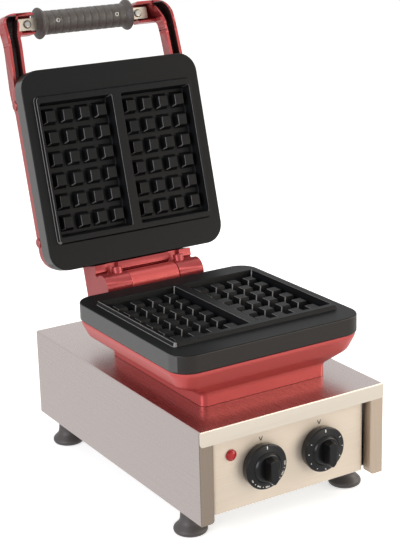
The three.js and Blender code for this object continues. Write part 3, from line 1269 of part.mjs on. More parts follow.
// Side band (y, z) of the arm, which rises from the lid's corner to the stub
function armBand(drop, floor) {
  const stubTop = BOW_STUB_RISE + BOW_DEPTH;
  const low = [
    [BOW_ROOT_Y, BOW_ROOT_RISE],
    [BOW_ARM_END_Y, BOW_ARM_RISE],
    [BOW_KNEE_Y, BOW_KNEE_RISE],
    [BOW_CORNER_Y, BOW_CORNER_RISE],
    [BOW_END_Y - OVERRUN, BOW_STUB_RISE],
  ].map(([y, z]) => [y, LID_FACE_Z + z - drop]);
  const high = [
    [BOW_END_Y - OVERRUN, stubTop],
    [BOW_CORNER_Y, stubTop],
    [BOW_KNEE_Y, stubTop - BOW_FLOOR],
    [BOW_ARM_END_Y, BOW_ARM_RISE + BOW_DEPTH],
    [BOW_ROOT_Y, BOW_ROOT_RISE + BOW_DEPTH],
  ].map(([y, z]) => [y, LID_FACE_Z + z - floor]);
  return across(polygon([...low, ...high]), BOW_STUB_X, PLATE_HALF_WIDTH + OVERRUN);
}

function bowSide() {
  const low = LID_FACE_Z;
  const high = LID_FACE_Z + BOW_STUB_RISE + BOW_DEPTH;
  const stubTopY = BOW_END_Y + BOW_STUB_WIDTH;
  const innerX = BOW_ARM_END_X - BOW_ARM_WIDTH;
  const outline = upright(bowOutline(), low, high);
  const armPlace = block(
    innerX - BOW_RIB, PLATE_HALF_WIDTH + OVERRUN, BOW_END_Y - OVERRUN, BOW_ROOT_Y + OVERRUN, low, high);
  const stubPlace = block(
    BOW_STUB_X - OVERRUN, innerX + BOW_RIB, BOW_END_Y - OVERRUN, stubTopY,
    LID_FACE_Z + BOW_STUB_RISE, high + OVERRUN);
  const arm = outline.intersect(armPlace).intersect(armBand(0, 0));
  const stub = outline.intersect(stubPlace);
  const channel = upright(armChannelOutline(), low, high).intersect(armBand(OVERRUN, BOW_FLOOR));
  const pocket = upright(stubPocketOutline(), low, high - BOW_FLOOR);
  const hole = rod(BOLT_RADIUS + RUNNING, low, high + OVERRUN, "z", SMALL).translate(BOLT_X, BAR_Y, 0);
  return cut(join(arm, stub), channel, pocket, hole);
}

function lidCasting() {
  const right = bowSide();
  const bosses = [-1, 1].flatMap((side) => [SIDE_BOSS_FRONT, SIDE_BOSS_BACK].map((y) => {
    const reach = PLATE_HALF_WIDTH - LID_RIM_INSET;
    const ends = [side * (reach - LID_WALL / 2), side * (reach + SIDE_BOSS_PROUD)];
    return rod(SIDE_BOSS_RADIUS, Math.min(...ends), Math.max(...ends), "x", SMALL)
      .translate(0, y, LID_FACE_Z + LID_SIDE_HEIGHT - SIDE_BOSS_RADIUS);
  }));
  return cut(join(lidSkin(), right, right.mirror([1, 0, 0]), hingeBlock(), ...bosses), lidPocket());
}

function hingePin() {
  const end = BARREL_HALF_LENGTH - PIN_INSET;
  return turned([
    [PIN_BORE_RADIUS, -end],
    [PIN_RADIUS, -end],
    [PIN_RADIUS, end],
    [PIN_BORE_RADIUS, end],
    [PIN_BORE_RADIUS, -end],
  ], "x", ROUND).translate(0, HINGE_Y, HINGE_Z);
}

function grubScrew(side) {
  const tip = HINGE_Y - PIN_RADIUS - SEAT;
  const socket = GRUB_SOCKET_DEPTH;
  return turned([
    [0, tip],
    [GRUB_RADIUS, tip],
    [GRUB_RADIUS, tip - GRUB_LENGTH],
    [GRUB_SOCKET_RADIUS, tip - GRUB_LENGTH],
    [GRUB_SOCKET_RADIUS, tip - GRUB_LENGTH + socket],
    [0, tip - GRUB_LENGTH + socket],
  ], "y", SMALL).translate(side * GRUB_X, 0, HINGE_Z);
}

// Handle

function handleBar() {
  const z = LID_FACE_Z + BAR_TOP;
  const outline = rectangle(
    -BAR_HALF_LENGTH, BAR_HALF_LENGTH, BAR_Y - BAR_WIDTH / 2, BAR_Y + BAR_WIDTH / 2, BAR_CORNER_RADIUS);
  const drill = (radius, x) =>
    rod(radius, z - BAR_THICKNESS - OVERRUN, z + OVERRUN, "z", SMALL).translate(x, BAR_Y, 0);
  const holes = [-1, 1].flatMap((side) => [
    drill(BOLT_RADIUS + RUNNING, side * BOLT_X),
    drill(GRIP_SCREW_RADIUS + RUNNING, side * GRIP_SCREW_X),
  ]);
  return cut(upright(outline, z - BAR_THICKNESS, z), ...holes);
}

// Half the grip's profile, from its middle to its end
function gripHalfProfile() {
  const profile = [];
  const pitch = 2 * GRIP_HALF_LENGTH / (GRIP_GROOVE_COUNT + 1);
  const first = (GRIP_GROOVE_COUNT % 2 ? 0 : pitch / 2);
  for (let x = first; x < GRIP_HALF_LENGTH - pitch / 2; x += pitch) {
    if (x > 0) profile.push([GRIP_RADIUS, x - GRIP_GROOVE_WIDTH / 2]);
    if (x > 0) profile.push([GRIP_RADIUS - GRIP_GROOVE_DEPTH, x]);
    profile.push([GRIP_RADIUS, x + GRIP_GROOVE_WIDTH / 2]);
  }
  const collar = GRIP_HALF_LENGTH + COLLAR_WIDTH / 2;
  const neck = (GRIP_RADIUS + COLLAR_RADIUS) / 2;
  profile.push([GRIP_RADIUS, GRIP_HALF_LENGTH - COLLAR_NECK / 2]);
  profile.push([neck, GRIP_HALF_LENGTH]);
  profile.push([COLLAR_RADIUS, collar - COLLAR_NECK / 2]);
  profile.push([COLLAR_RADIUS, collar + COLLAR_NECK / 2]);
  profile.push([neck, GRIP_HALF_LENGTH + COLLAR_WIDTH]);
  return profile;
}

function handleGrip() {
  const half = gripHalfProfile();
  const end = GRIP_HALF_LENGTH + COLLAR_WIDTH;
  const left = half.map(([radius, x]) => [radius, -x]).reverse();
  const middle = GRIP_GROOVE_COUNT % 2 ? [[GRIP_RADIUS - GRIP_GROOVE_DEPTH, 0]] : [];
  const z = LID_FACE_Z + BAR_MIDDLE;
  const body = turned([[0, -end], ...left, ...middle, ...half, [0, end]], "x", ROUND)
    .translate(0, BAR_Y, z);
  const halfWidth = BAR_WIDTH / 2 + SEAT;
  const halfThick = BAR_THICKNESS / 2 + SEAT;
  const slot = block(
    -end - OVERRUN, end + OVERRUN, BAR_Y - halfWidth, BAR_Y + halfWidth, z - halfThick, z + halfThick);
  const sink = z - GRIP_RADIUS + GRIP_SCREW_SINK + GRIP_SCREW_HEAD_HEIGHT;
  const holes = [-1, 1].flatMap((side) => [
    rod(GRIP_SCREW_RADIUS + RUNNING, z - GRIP_RADIUS, z + GRIP_RADIUS / 2, "z", SMALL)
      .translate(side * GRIP_SCREW_X, BAR_Y, 0),
    rod(GRIP_SCREW_HEAD_RADIUS + RUNNING, z - GRIP_RADIUS - OVERRUN, sink + SEAT, "z", SMALL)
      .translate(side * GRIP_SCREW_X, BAR_Y, 0),
  ]);
  return cut(body, slot, ...holes);
}

function handleFixings() {
  const fixings = [];
  const z = LID_FACE_Z + BAR_TOP;
  const floorTop = LID_FACE_Z + BOW_STUB_RISE + BOW_DEPTH;
  const middle = LID_FACE_Z + BAR_MIDDLE;
  for (const [name, side] of [["left", -1], ["right", 1]]) {
    const under = z - BAR_THICKNESS - SEAT;
    const reach = floorTop + SEAT + NUT_HEIGHT - under;
    const bolt = panScrew(BOLT_RADIUS, BOLT_HEAD_RADIUS, BOLT_HEAD_HEIGHT, reach);
    const boltPiece = piece(`handle_bolt_${name}`, bolt, zincSteel());
    boltPiece.position.set(side * BOLT_X, BAR_Y, under);
    const bored = BOLT_RADIUS + RUNNING;
    const nut = cut(
      rod(NUT_RADIUS, 0, NUT_HEIGHT, "z", HEX),
      rod(bored, -OVERRUN, NUT_HEIGHT + OVERRUN, "z", SMALL));
    const nutPiece = piece(`handle_nut_${name}`, nut, zincSteel());
    nutPiece.position.set(side * BOLT_X, BAR_Y, floorTop + SEAT);
    const seat = middle - GRIP_RADIUS + GRIP_SCREW_SINK + GRIP_SCREW_HEAD_HEIGHT;
    const length = middle + GRIP_RADIUS / 2 - SEAT - seat;
    const screw = panScrew(GRIP_SCREW_RADIUS, GRIP_SCREW_HEAD_RADIUS, GRIP_SCREW_HEAD_HEIGHT, length);
    const screwPiece = piece(`grip_screw_${name}`, screw, zincSteel());
    screwPiece.position.set(side * GRIP_SCREW_X, BAR_Y, seat);
    fixings.push(boltPiece, nutPiece, screwPiece);
  }
  return fixings;
}

// Assembly

function base() {
  const group = new THREE.Group();
  group.add(piece("housing_shell", housingShell(), stainless()));
  group.add(piece("bottom_plate", bottomPlate(), zincSteel()));
  group.add(piece("control_panel", controlPanel(), stainless()));
  group.add(piece("rear_panel", rearPanel(), stainless()));
  group.add(...feet());
  group.add(piece("thermostat_body", switchBody(-KNOB_X, THERMOSTAT_SIZE, THERMOSTAT_DEPTH), paleMoulding()));
  group.add(piece("timer_body", switchBody(KNOB_X, TIMER_SIZE, TIMER_DEPTH), zincSteel()));
  group.add(piece("thermostat_bulb", thermostatBulb(), brass()));
  group.add(piece("lamp_lens", lampLens(), redLens()));
  group.add(piece("lamp_body", lampBody(), blackMoulding()));
  group.add(piece("cable_gland", cableGland(), blackMoulding()));
  group.add(piece("gland_nut", glandNut(), blackMoulding()));
  group.add(piece("terminal_block", terminalBlock(), paleMoulding()));
  group.add(piece("earth_stud", earthStud(), brass()));
  group.add(piece("base_casting", baseCasting(), redEnamel()));
  group.add(...castingBolts());
  const cooking = cookingSet("lower", LOWER_LEG_LENGTH);
  cooking.position.set(0, PLATE_MIDDLE, LOWER_FACE_Z);
  group.add(cooking);
  return group;
}

function closedLid() {
  const group = new THREE.Group();
  group.add(piece("lid_casting", lidCasting(), redEnamel()));
  group.add(piece("hinge_pin", hingePin(), zincSteel()));
  group.add(piece("grub_screw_left", grubScrew(-1), zincSteel()));
  group.add(piece("grub_screw_right", grubScrew(1), zincSteel()));
  group.add(piece("handle_bar", handleBar(), stainless()));
  group.add(piece("handle_grip", handleGrip(), gripMoulding()));
  group.add(...handleFixings());
  const cooking = cookingSet("upper", UPPER_LEG_LENGTH);
  cooking.position.set(0, PLATE_MIDDLE, LID_FACE_Z);
  cooking.rotation.y = Math.PI;
  group.add(cooking);
  return group;
}

function openLid() {
  const lid = closedLid();
  lid.position.set(0, -HINGE_Y, -HINGE_Z);
  const hinge = new THREE.Group();
  hinge.add(lid);
  hinge.position.set(0, HINGE_Y, HINGE_Z);
  hinge.rotation.x = -OPEN_ANGLE;
  return hinge;
}

const waffleMaker = new THREE.Group();
waffleMaker.add(base(), controlSet("thermostat", -KNOB_X), controlSet("timer", KNOB_X), openLid());
waffleMaker.updateMatrixWorld(true);
const reach = new THREE.Box3().setFromObject(waffleMaker, true);
const middle = reach.getCenter(new THREE.Vector3());
waffleMaker.position.set(-middle.x, -middle.y, -reach.min.z);

export default waffleMaker;
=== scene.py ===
"""Belgian waffle maker: the looks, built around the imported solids.

Sizes are millimetres on the maker's drawing: x to the right, y from the housing's front
to its back, z up from the ground, and the lid is drawn closed. Two matrices turn a drawn
mesh into the frame's metres, and the lid's one opens it on its hinge as well.
"""

import json
import logging
import math
from dataclasses import dataclass
from enum import Enum
from functools import cache
from typing import Iterable, Sequence

import bmesh
import bpy
from mathutils import Matrix, Vector
from mathutils.bvhtree import BVHTree


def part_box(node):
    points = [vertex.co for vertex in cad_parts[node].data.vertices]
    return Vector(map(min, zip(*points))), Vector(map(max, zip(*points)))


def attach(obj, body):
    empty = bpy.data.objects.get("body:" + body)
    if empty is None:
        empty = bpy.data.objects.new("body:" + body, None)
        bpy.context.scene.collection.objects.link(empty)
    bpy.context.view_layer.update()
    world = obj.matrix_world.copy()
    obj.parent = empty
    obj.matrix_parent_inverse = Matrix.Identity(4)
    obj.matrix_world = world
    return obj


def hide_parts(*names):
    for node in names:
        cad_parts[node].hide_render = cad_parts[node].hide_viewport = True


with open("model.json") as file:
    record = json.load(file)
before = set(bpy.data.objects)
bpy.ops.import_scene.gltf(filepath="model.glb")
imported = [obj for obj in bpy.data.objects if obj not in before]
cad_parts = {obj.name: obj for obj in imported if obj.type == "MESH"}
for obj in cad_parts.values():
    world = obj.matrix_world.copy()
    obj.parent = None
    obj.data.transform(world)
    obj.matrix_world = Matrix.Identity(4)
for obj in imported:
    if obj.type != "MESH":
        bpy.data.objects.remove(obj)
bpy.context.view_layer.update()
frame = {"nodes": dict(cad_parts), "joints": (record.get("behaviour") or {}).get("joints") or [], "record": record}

log = logging.getLogger("waffle_maker")

MM = 0.001
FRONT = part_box("housing_shell")[0].y
TO_FRAME = Matrix.Translation((0, FRONT, 0)) @ Matrix.Scale(MM, 4)
LID_JOINT = next(j for j in frame["joints"] if j["name"] == "lid_hinge")
HINGE = TO_FRAME.inverted() @ Vector(LID_JOINT["pos_m"])
OPEN_ANGLE = math.radians(LID_JOINT["range_deg"][1])
LID_TO_FRAME = (
    TO_FRAME
    @ Matrix.Translation(HINGE)
    @ Matrix.Rotation(-OPEN_ANGLE, 4, "X")
    @ Matrix.Translation(-HINGE)
)

Point = Sequence[float]

# Heights and places that several pieces share, in millimetres on the drawing.
SEAT_GAP = 0.3  # between pieces that rest on each other
LOWER_FACE = 215.5
LID_FACE = 226.0
PLATE_MIDDLE = 161.8
PIN_BORE = 6.3
BARREL_RADIUS = 16.0
BOLT_BORE = 3.3


class Body(Enum):
    """The bodies that move against each other."""

    BASE = "base"
    LID = "lid"
    THERMOSTAT = "thermostat_dial"
    TIMER = "timer_dial"


class Axis(Enum):
    """The way a profile is run or turned."""

    X = "X"
    Y = "Y"
    Z = "Z"


# Outlines


def lerp(a: Point, b: Point, share: float) -> tuple[float, ...]:
    """Returns the point that lies the given share of the way from a to b."""
    return tuple(p + (q - p) * share for p, q in zip(a, b))


def eased(
    points: Sequence[Point],
    reach: float | Sequence[float],
    steps: int = 4,
    closed: bool = False,
) -> list[tuple[float, ...]]:
    """Rounds the corners of a path with short curves.

    Args:
        points: The path's corners, with any number of coordinates.
        reach: How far from each corner its curve starts, or one such number for all.
        steps: Stretches in each curve.
        closed: Whether the last point joins the first.

    Returns:
        The points of the rounded path.
    """
    count = len(points)
    reaches = [reach] * count if isinstance(reach, (int, float)) else list(reach)
    made: list[tuple[float, ...]] = []
    for i, corner in enumerate(points):
        ends = not closed and i in (0, count - 1)
        if ends or reaches[i] <= 0:
            made.append(tuple(corner))
            continue
        before, after = points[i - 1], points[(i + 1) % count]
        into = min(reaches[i] / max(math.dist(before, corner), 1e-9), 0.48)
        away = min(reaches[i] / max(math.dist(after, corner), 1e-9), 0.48)
        start, end = lerp(corner, before, into), lerp(corner, after, away)
        for k in range(steps + 1):
            t = k / steps
            made.append(lerp(lerp(start, corner, t), lerp(corner, end, t), t))
    return made


def rounded(
    left: float, right: float, low: float, high: float, radius: float, steps: int = 8
) -> list[tuple[float, float]]:
    """Draws a rectangle with round corners.

    Args:
        left, right, low, high: Its sides.
        radius: The radius of its corners.
        steps: Stretches in each corner.

    Returns:
        Its outline's points, anticlockwise.
    """
    centres = [
        (right - radius, low + radius),
        (right - radius, high - radius),
        (left + radius, high - radius),
        (left + radius, low + radius),
    ]
    points = []
    for corner, (x, y) in enumerate(centres):
        for k in range(steps + 1):
            turn = (corner - 1 + k / steps) * math.pi / 2
            points.append((x + radius * math.cos(turn), y + radius * math.sin(turn)))
    return points


def level(half: float, front: float, back: float, radius: float, z: float) -> list[Vector]:
    """Returns one level of a casting: a rounded rectangle at height z."""
    return [Vector((x, y, z)) for x, y in rounded(-half, half, front, back, radius)]


# Meshes


def placed(name: str, data: bpy.types.ID) -> bpy.types.Object:
    """Returns a new object of the scene that holds the given data."""
    item = bpy.data.objects.new(name, data)
    bpy.context.scene.collection.objects.link(item)
    return item


class Shell:
    """A closed surface under construction."""

    def __init__(self) -> None:
        """Starts an empty surface."""
        self.mesh = bmesh.new()

    def ring(self, points: Iterable[Point]) -> list[bmesh.types.BMVert]:
        """Adds one loop of points and returns its vertices."""
        return [self.mesh.verts.new(p) for p in points]

    def skin(self, first: list, second: list) -> None:
        """Joins two loops of equal length with faces."""
        count = len(first)
        for i in range(count):
            j = (i + 1) % count
            self.mesh.faces.new((first[i], first[j], second[j], second[i]))

    def cap(self, ring: list) -> None:
        """Closes a loop with one flat face."""
        self.mesh.faces.new(ring)

    def walls(self, levels: Sequence[Iterable[Point]]) -> tuple[list, list]:
        """Skins a stack of loops and returns the first and the last of them."""
        rings = [self.ring(points) for points in levels]
        for first, second in zip(rings, rings[1:]):
            self.skin(first, second)
        return rings[0], rings[-1]

    def face_with_holes(self, outer: list, holes: Sequence[list]) -> None:
        """Fills a flat face that has holes.

        Args:
            outer: The loop of vertices round the face.
            holes: The loops inside it.
        """
        edges = []
        for loop in [outer, *holes]:
            for i, vert in enumerate(loop):
                after = loop[(i + 1) % len(loop)]
                edge = self.mesh.edges.get((vert, after)) or self.mesh.edges.new((vert, after))
                edges.append(edge)
        bmesh.ops.triangle_fill(self.mesh, edges=edges, use_beauty=True)

    def solid(self, levels: Sequence[Iterable[Point]]) -> "Shell":
        """Adds a stack of loops that is closed at both ends."""
        first, last = self.walls(levels)
        self.cap(first)
        self.cap(last)
        return self

    def made(self, name: str) -> bpy.types.Object:
        """Returns the surface as an object with its faces pointing outwards."""
        bmesh.ops.remove_doubles(self.mesh, verts=self.mesh.verts, dist=1e-5)
        bmesh.ops.recalc_face_normals(self.mesh, faces=self.mesh.faces)
        mesh = bpy.data.meshes.new(name)
        self.mesh.to_mesh(mesh)
        self.mesh.free()
        return placed(name, mesh)


def on_axis(axis: Axis, u: float, v: float, along: float) -> tuple[float, float, float]:
    """Returns the point (u, v) of a section that stands at a distance along an axis."""
    return {Axis.X: (along, u, v), Axis.Y: (u, along, v), Axis.Z: (u, v, along)}[axis]


def run_along(
    outline: Sequence[Point], start: float, end: float, axis: Axis
) -> bpy.types.Object:
    """Runs a flat outline along an axis.

    Args:
        outline: Corner points, (x, y) for Z, (x, z) for Y and (y, z) for X.
        start: Where the run starts on the axis.
        end: Where it ends.
        axis: The axis.

    Returns:
        A closed solid.
    """
    loops = [[on_axis(axis, u, v, w) for u, v in outline] for w in (start, end)]
    return Shell().solid(loops).made("run")


def turned(
    profile: Sequence[Point], axis: Axis = Axis.Z, sides: int = 64, centre: Point = (0, 0, 0)
) -> bpy.types.Object:
    """Turns a profile of (radius, distance along the axis) into a closed solid.

    Args:
        profile: It starts and ends on the axis, or else closes on itself.
        axis: The axis of turning.
        sides: Faces round the axis.
        centre: A point of the axis, from which the distances count.

    Returns:
        The turned solid.
    """
    shell = Shell()
    has_ends = profile[0][0] < 1e-6
    stations = [p for p in profile if p[0] > 1e-6]
    turns = [2 * math.pi * i / sides for i in range(sides)]
    rings = [
        shell.ring([
            Vector(on_axis(axis, radius * math.cos(t), radius * math.sin(t), along))
            + Vector(centre)
            for t in turns
        ])
        for radius, along in stations
    ]
    for first, second in zip(rings, rings[1:]):
        shell.skin(first, second)
    if has_ends:
        shell.cap(rings[0])
        shell.cap(rings[-1])
    else:
        shell.skin(rings[-1], rings[0])
    return shell.made("turned")


def rod(
    radius: float, start: float, end: float, axis: Axis, centre: Point, sides: int = 48,
    edge: float = 0.0,
) -> bpy.types.Object:
    """Makes a round bar.

    Args:
        radius: Its radius.
        start, end: Its ends, as distances along the axis from the centre.
        axis: The axis that it lies on.
        centre: A point of the axis.
        sides: Faces round it; six make a nut.
        edge: The size of the chamfer at both ends.

    Returns:
        The closed solid.
    """
    profile = [(0, start), (radius - edge, start), (radius, start + edge),
               (radius, end - edge), (radius - edge, end), (0, end)]
    if edge == 0:
        profile = [(0, start), (radius, start), (radius, end), (0, end)]
    return turned(profile, axis, sides, centre)


def block(
    x0: float, x1: float, y0: float, y1: float, z0: float, z1: float
) -> bpy.types.Object:
    """Returns a plain block between three pairs of faces."""
    return run_along([(x0, y0), (x1, y0), (x1, y1), (x0, y1)], z0, z1, Axis.Z)


def settled(item: bpy.types.Object) -> bpy.types.Object:
    """Turns an object's live modifiers into its mesh."""
    shapes = bpy.context.evaluated_depsgraph_get()
    mesh = bpy.data.meshes.new_from_object(item.evaluated_get(shapes))
    item.modifiers.clear()
    item.data = mesh
    return item


def carved(
    item: bpy.types.Object, operation: str, tools: Sequence[bpy.types.Object]
) -> bpy.types.Object:
    """Joins, cuts or crosses a solid with others.

    Args:
        item: The solid that is worked on.
        operation: UNION, DIFFERENCE or INTERSECT.
        tools: The other solids, which are used up.

    Returns:
        The worked solid.
    """
    for tool in tools:
        step = item.modifiers.new(operation, "BOOLEAN")
        step.operation = operation
        step.solver = "MANIFOLD"
        step.object = tool
        settled(item)
        bpy.data.objects.remove(tool)
    return item


def softened(
    item: bpy.types.Object, width: float, segments: int = 2, angle: float = 35
) -> bpy.types.Object:
    """Rounds the sharper edges of a solid.

    Args:
        item: The solid.
        width: The width of the rounds.
        segments: Faces across each round.
        angle: The least turn of an edge that is rounded, in degrees.

    Returns:
        The rounded solid.
    """
    bevel = item.modifiers.new("edges", "BEVEL")
    bevel.width = width
    bevel.segments = segments
    bevel.limit_method = "ANGLE"
    bevel.angle_limit = math.radians(angle)
    bevel.use_clamp_overlap = True
    return settled(item)


def deburred(item: bpy.types.Object) -> bpy.types.Object:
    """Rounds the cut edges of a sheet piece a little."""
    return softened(item, 0.2, 2, 50)


def joined(name: str, items: Sequence[bpy.types.Object]) -> bpy.types.Object:
    """Puts several meshes into one object.

    Args:
        name: The new object's name.
        items: The meshes, which are used up and keep their own materials.

    Returns:
        The one object.
    """
    merged = bmesh.new()
    slots: list[bpy.types.Material] = []
    for item in items:
        own = list(item.data.materials)
        for material in own:
            if material not in slots:
                slots.append(material)
        start = len(merged.faces)
        merged.from_mesh(item.data)
        merged.faces.ensure_lookup_table()
        for face in merged.faces[start:]:
            face.material_index = slots.index(own[face.material_index]) if own else 0
        bpy.data.objects.remove(item)
    mesh = bpy.data.meshes.new(name)
    merged.to_mesh(mesh)
    merged.free()
    for material in slots:
        mesh.materials.append(material)
    return placed(name, mesh)


def moved(item: bpy.types.Object, matrix: Matrix) -> bpy.types.Object:
    """Applies a matrix to an object's mesh."""
    item.data.transform(matrix)
    if matrix.determinant() < 0:
        item.data.flip_normals()
    return item


def mirrored(item: bpy.types.Object) -> bpy.types.Object:
    """Returns a copy of a solid on the other side of the middle."""
    return moved(placed(item.name, item.data.copy()), Matrix.Scale(-1, 4, (1, 0, 0)))


# Finishes


def linear(colour: str, alpha: float = 1.0) -> tuple[float, float, float, float]:
    """Turns an sRGB hex colour into linear red, green, blue and alpha."""
    parts = [int(colour[i:i + 2], 16) / 255 for i in (1, 3, 5)]
    red, green, blue = (
        c / 12.92 if c <= 0.04045 else ((c + 0.055) / 1.055) ** 2.4 for c in parts
    )
    return red, green, blue, alpha


def add_node(
    tree: bpy.types.NodeTree, kind: str, settings: dict | None = None, links: dict | None = None
) -> bpy.types.Node:
    """Adds a node to a tree.

    Args:
        tree: The tree.
        kind: The node's Blender type.
        settings: Values for its properties, or for its sockets by name or number.
        links: Sockets of other nodes, for its own sockets by name or number.

    Returns:
        The node.
    """
    node = tree.nodes.new(kind)
    for key, value in (settings or {}).items():
        if isinstance(key, str) and hasattr(node, key):
            setattr(node, key, value)
        else:
            node.inputs[key].default_value = value
    for key, source in (links or {}).items():
        tree.links.new(source, node.inputs[key])
    return node


@dataclass(frozen=True)
class Finish:
    """A plain finish, the same all over."""

    name: str
    colour: str
    roughness: float
    metallic: float = 0.0
    ior: float = 1.5
    coat: float = 0.0
    coat_roughness: float = 0.2
    anisotropy: float = 0.0

    def dress(self) -> bpy.types.Material:
        """Builds the material, or finds it if it has been built before."""
        known = bpy.data.materials.get(self.name)
        if known:
            return known
        material = bpy.data.materials.new(self.name)
        material.use_nodes = True
        tree = material.node_tree
        shader = tree.nodes["Principled BSDF"]
        shader.inputs["Base Color"].default_value = linear(self.colour)
        shader.inputs["Roughness"].default_value = self.roughness
        shader.inputs["Metallic"].default_value = self.metallic
        shader.inputs["IOR"].default_value = self.ior
        shader.inputs["Coat Weight"].default_value = self.coat
        shader.inputs["Coat Roughness"].default_value = self.coat_roughness
        shader.inputs["Anisotropic"].default_value = self.anisotropy
        material.diffuse_color = linear(self.colour)
        self.grain(tree, shader)
        return material

    def grain(self, tree: bpy.types.NodeTree, shader: bpy.types.Node) -> None:
        """Adds the finish's pattern; a plain one has none."""


@dataclass(frozen=True)
class Grained(Finish):
    """A finish with a fine grain in its colour, its gloss and its surface.

    The grain is noise in object coordinates. Its pitch is a real size in millimetres,
    for each axis, so that a brushed grain can be long one way.
    """

    other: str = "#000000"
    pitch: tuple[float, float, float] = (1.0, 1.0, 1.0)
    rough_low: float = 0.3
    rough_high: float = 0.4
    bump: float = 0.0
    depth: float = 0.0001

    def grain(self, tree: bpy.types.NodeTree, shader: bpy.types.Node) -> None:
        """Adds the noise, and leads it to colour, roughness and normal.

        Args:
            tree: The material's node tree.
            shader: Its surface shader.
        """
        place = add_node(tree, "ShaderNodeTexCoord")
        scale = tuple(1 / (p * MM) for p in self.pitch)
        mapping = add_node(tree, "ShaderNodeMapping", {"Scale": scale},
                           {"Vector": place.outputs["Object"]})
        noise = add_node(tree, "ShaderNodeTexNoise", {"Scale": 1.0, "Detail": 3.0},
                         {"Vector": mapping.outputs["Vector"]})
        spread = add_node(tree, "ShaderNodeMapRange",
                          {"From Min": 0.3, "From Max": 0.7}, {"Value": noise.outputs["Fac"]})
        colour = add_node(tree, "ShaderNodeMix", {"data_type": "RGBA"})
        colour.inputs[6].default_value = linear(self.colour)
        colour.inputs[7].default_value = linear(self.other)
        tree.links.new(spread.outputs["Result"], colour.inputs[0])
        tree.links.new(colour.outputs[2], shader.inputs["Base Color"])
        rough = add_node(tree, "ShaderNodeMapRange",
                         {"To Min": self.rough_low, "To Max": self.rough_high},
                         {"Value": spread.outputs["Result"]})
        tree.links.new(rough.outputs["Result"], shader.inputs["Roughness"])
        if self.bump > 0:
            bump = add_node(tree, "ShaderNodeBump",
                            {"Strength": self.bump, "Distance": self.depth},
                            {"Height": noise.outputs["Fac"]})
            tree.links.new(bump.outputs["Normal"], shader.inputs["Normal"])


# Stainless sheet, brushed along its length: fine long scratches stretch each reflection.
STEEL_ALONG = Grained(
    "stainless_sheet_brushed_lengthwise", "#b9aeab", 0.3, metallic=1.0,
    other="#b6aba8", pitch=(0.35, 90.0, 0.35), rough_low=0.26, rough_high=0.29)
# The same sheet on the front, scratches from side to side, painted lighter for the front's light.
STEEL_ACROSS_PAINTED_LIGHT = Grained(
    "stainless_sheet_brushed_across", "#e2d8c9", 0.34, metallic=1.0,
    other="#dcd1c2", pitch=(60.0, 0.35, 0.35), rough_low=0.32, rough_high=0.36, bump=0.03)
# The panel's coarser brushing blurs the dials' reflections to a soft shade; its cream is painted light.
STEEL_PANEL_PAINTED_LIGHT = Grained(
    "stainless_panel_brushed_across", "#e2d5c4", 0.46, metallic=0.5,
    other="#dacdbc", pitch=(60.0, 0.4, 0.4), rough_low=0.46, rough_high=0.52, bump=0.03)
# The flanges are brushed up and down; each carries a painted reflection of another part of the
# room: brown on the left, paler on the right.
FLANGE_PAINTED_DARK_REFLECTION = Grained(
    "stainless_flange_brushed_left", "#94877a", 0.4, metallic=0.9,
    other="#8d8073", pitch=(0.35, 0.35, 60.0), rough_low=0.38, rough_high=0.44, bump=0.03)
FLANGE_PAINTED_PALE_REFLECTION = Grained(
    "stainless_flange_brushed_right", "#bfae9c", 0.4, metallic=0.8,
    other="#b8a795", pitch=(0.35, 0.35, 60.0), rough_low=0.38, rough_high=0.44, bump=0.03)
# Rolled flat bar, a little glossier than the sheet.
STEEL_BAR = Grained(
    "stainless_flat_bar", "#c2b8aa", 0.34, metallic=1.0,
    other="#b9afa1", pitch=(30.0, 0.35, 0.35), rough_low=0.3, rough_high=0.38, bump=0.03)
# Zinc plated steel: pale, slightly cloudy fasteners and folded inner sheet.
ZINC = Grained(
    "zinc_plated_steel", "#a9a7a2", 0.38, metallic=1.0,
    other="#97958f", pitch=(9.0, 9.0, 9.0), rough_low=0.32, rough_high=0.46)
# Metallic powder coat on cast aluminium: tinted highlights and a faint orange peel.
RED_ENAMEL = Grained(
    "red_metallic_powder_coat", "#c04c49", 0.36, metallic=0.45, coat=0.2, coat_roughness=0.25,
    other="#b84643", pitch=(0.9, 0.9, 0.9), rough_low=0.34, rough_high=0.4, bump=0.04)
# The same coat on the lid, painted a shade deeper for the lesser light that falls on it.
LID_ENAMEL_PAINTED_SHADE = Grained(
    "red_metallic_powder_coat_deep", "#a03a3a", 0.34, metallic=0.5, coat=0.15,
    coat_roughness=0.25, other="#973536", pitch=(0.9, 0.9, 0.9), rough_low=0.32,
    rough_high=0.38, bump=0.04)
# Painted shade in the arms' deep channels, where little light reaches: they read nearly black.
CHANNEL_PAINTED_SHADE = Finish("browned_thin_coat_in_channels", "#2b1311", 0.5)
# Cast iron under a dark non-stick coat: nearly black, with a low even sheen.
COATED_IRON = Grained(
    "coated_cast_iron", "#131415", 0.48, ior=1.18, coat=0.06, coat_roughness=0.25,
    other="#111213", pitch=(0.8, 0.8, 0.8), rough_low=0.44, rough_high=0.52, bump=0.05)
# Painted shade: the plates' front and right sides, as dark as the faces, a little browner.
IRON_SIDE_PAINTED_SHADE = Grained(
    "browned_cast_iron_side", "#24201d", 0.42, ior=1.35, coat=0.05, coat_roughness=0.25,
    other="#1f1c19", pitch=(4.0, 4.0, 0.6), rough_low=0.38, rough_high=0.46, bump=0.05)
# Painted light on the sides by the left flank, where the light falls: greyer, with a clearer sheen.
IRON_SIDE_PAINTED_LIGHT = Grained(
    "ground_cast_iron_side", "#2a2826", 0.4, ior=1.75, coat=0.1, coat_roughness=0.25,
    other="#262422", pitch=(4.0, 4.0, 0.6), rough_low=0.36, rough_high=0.44, bump=0.05)
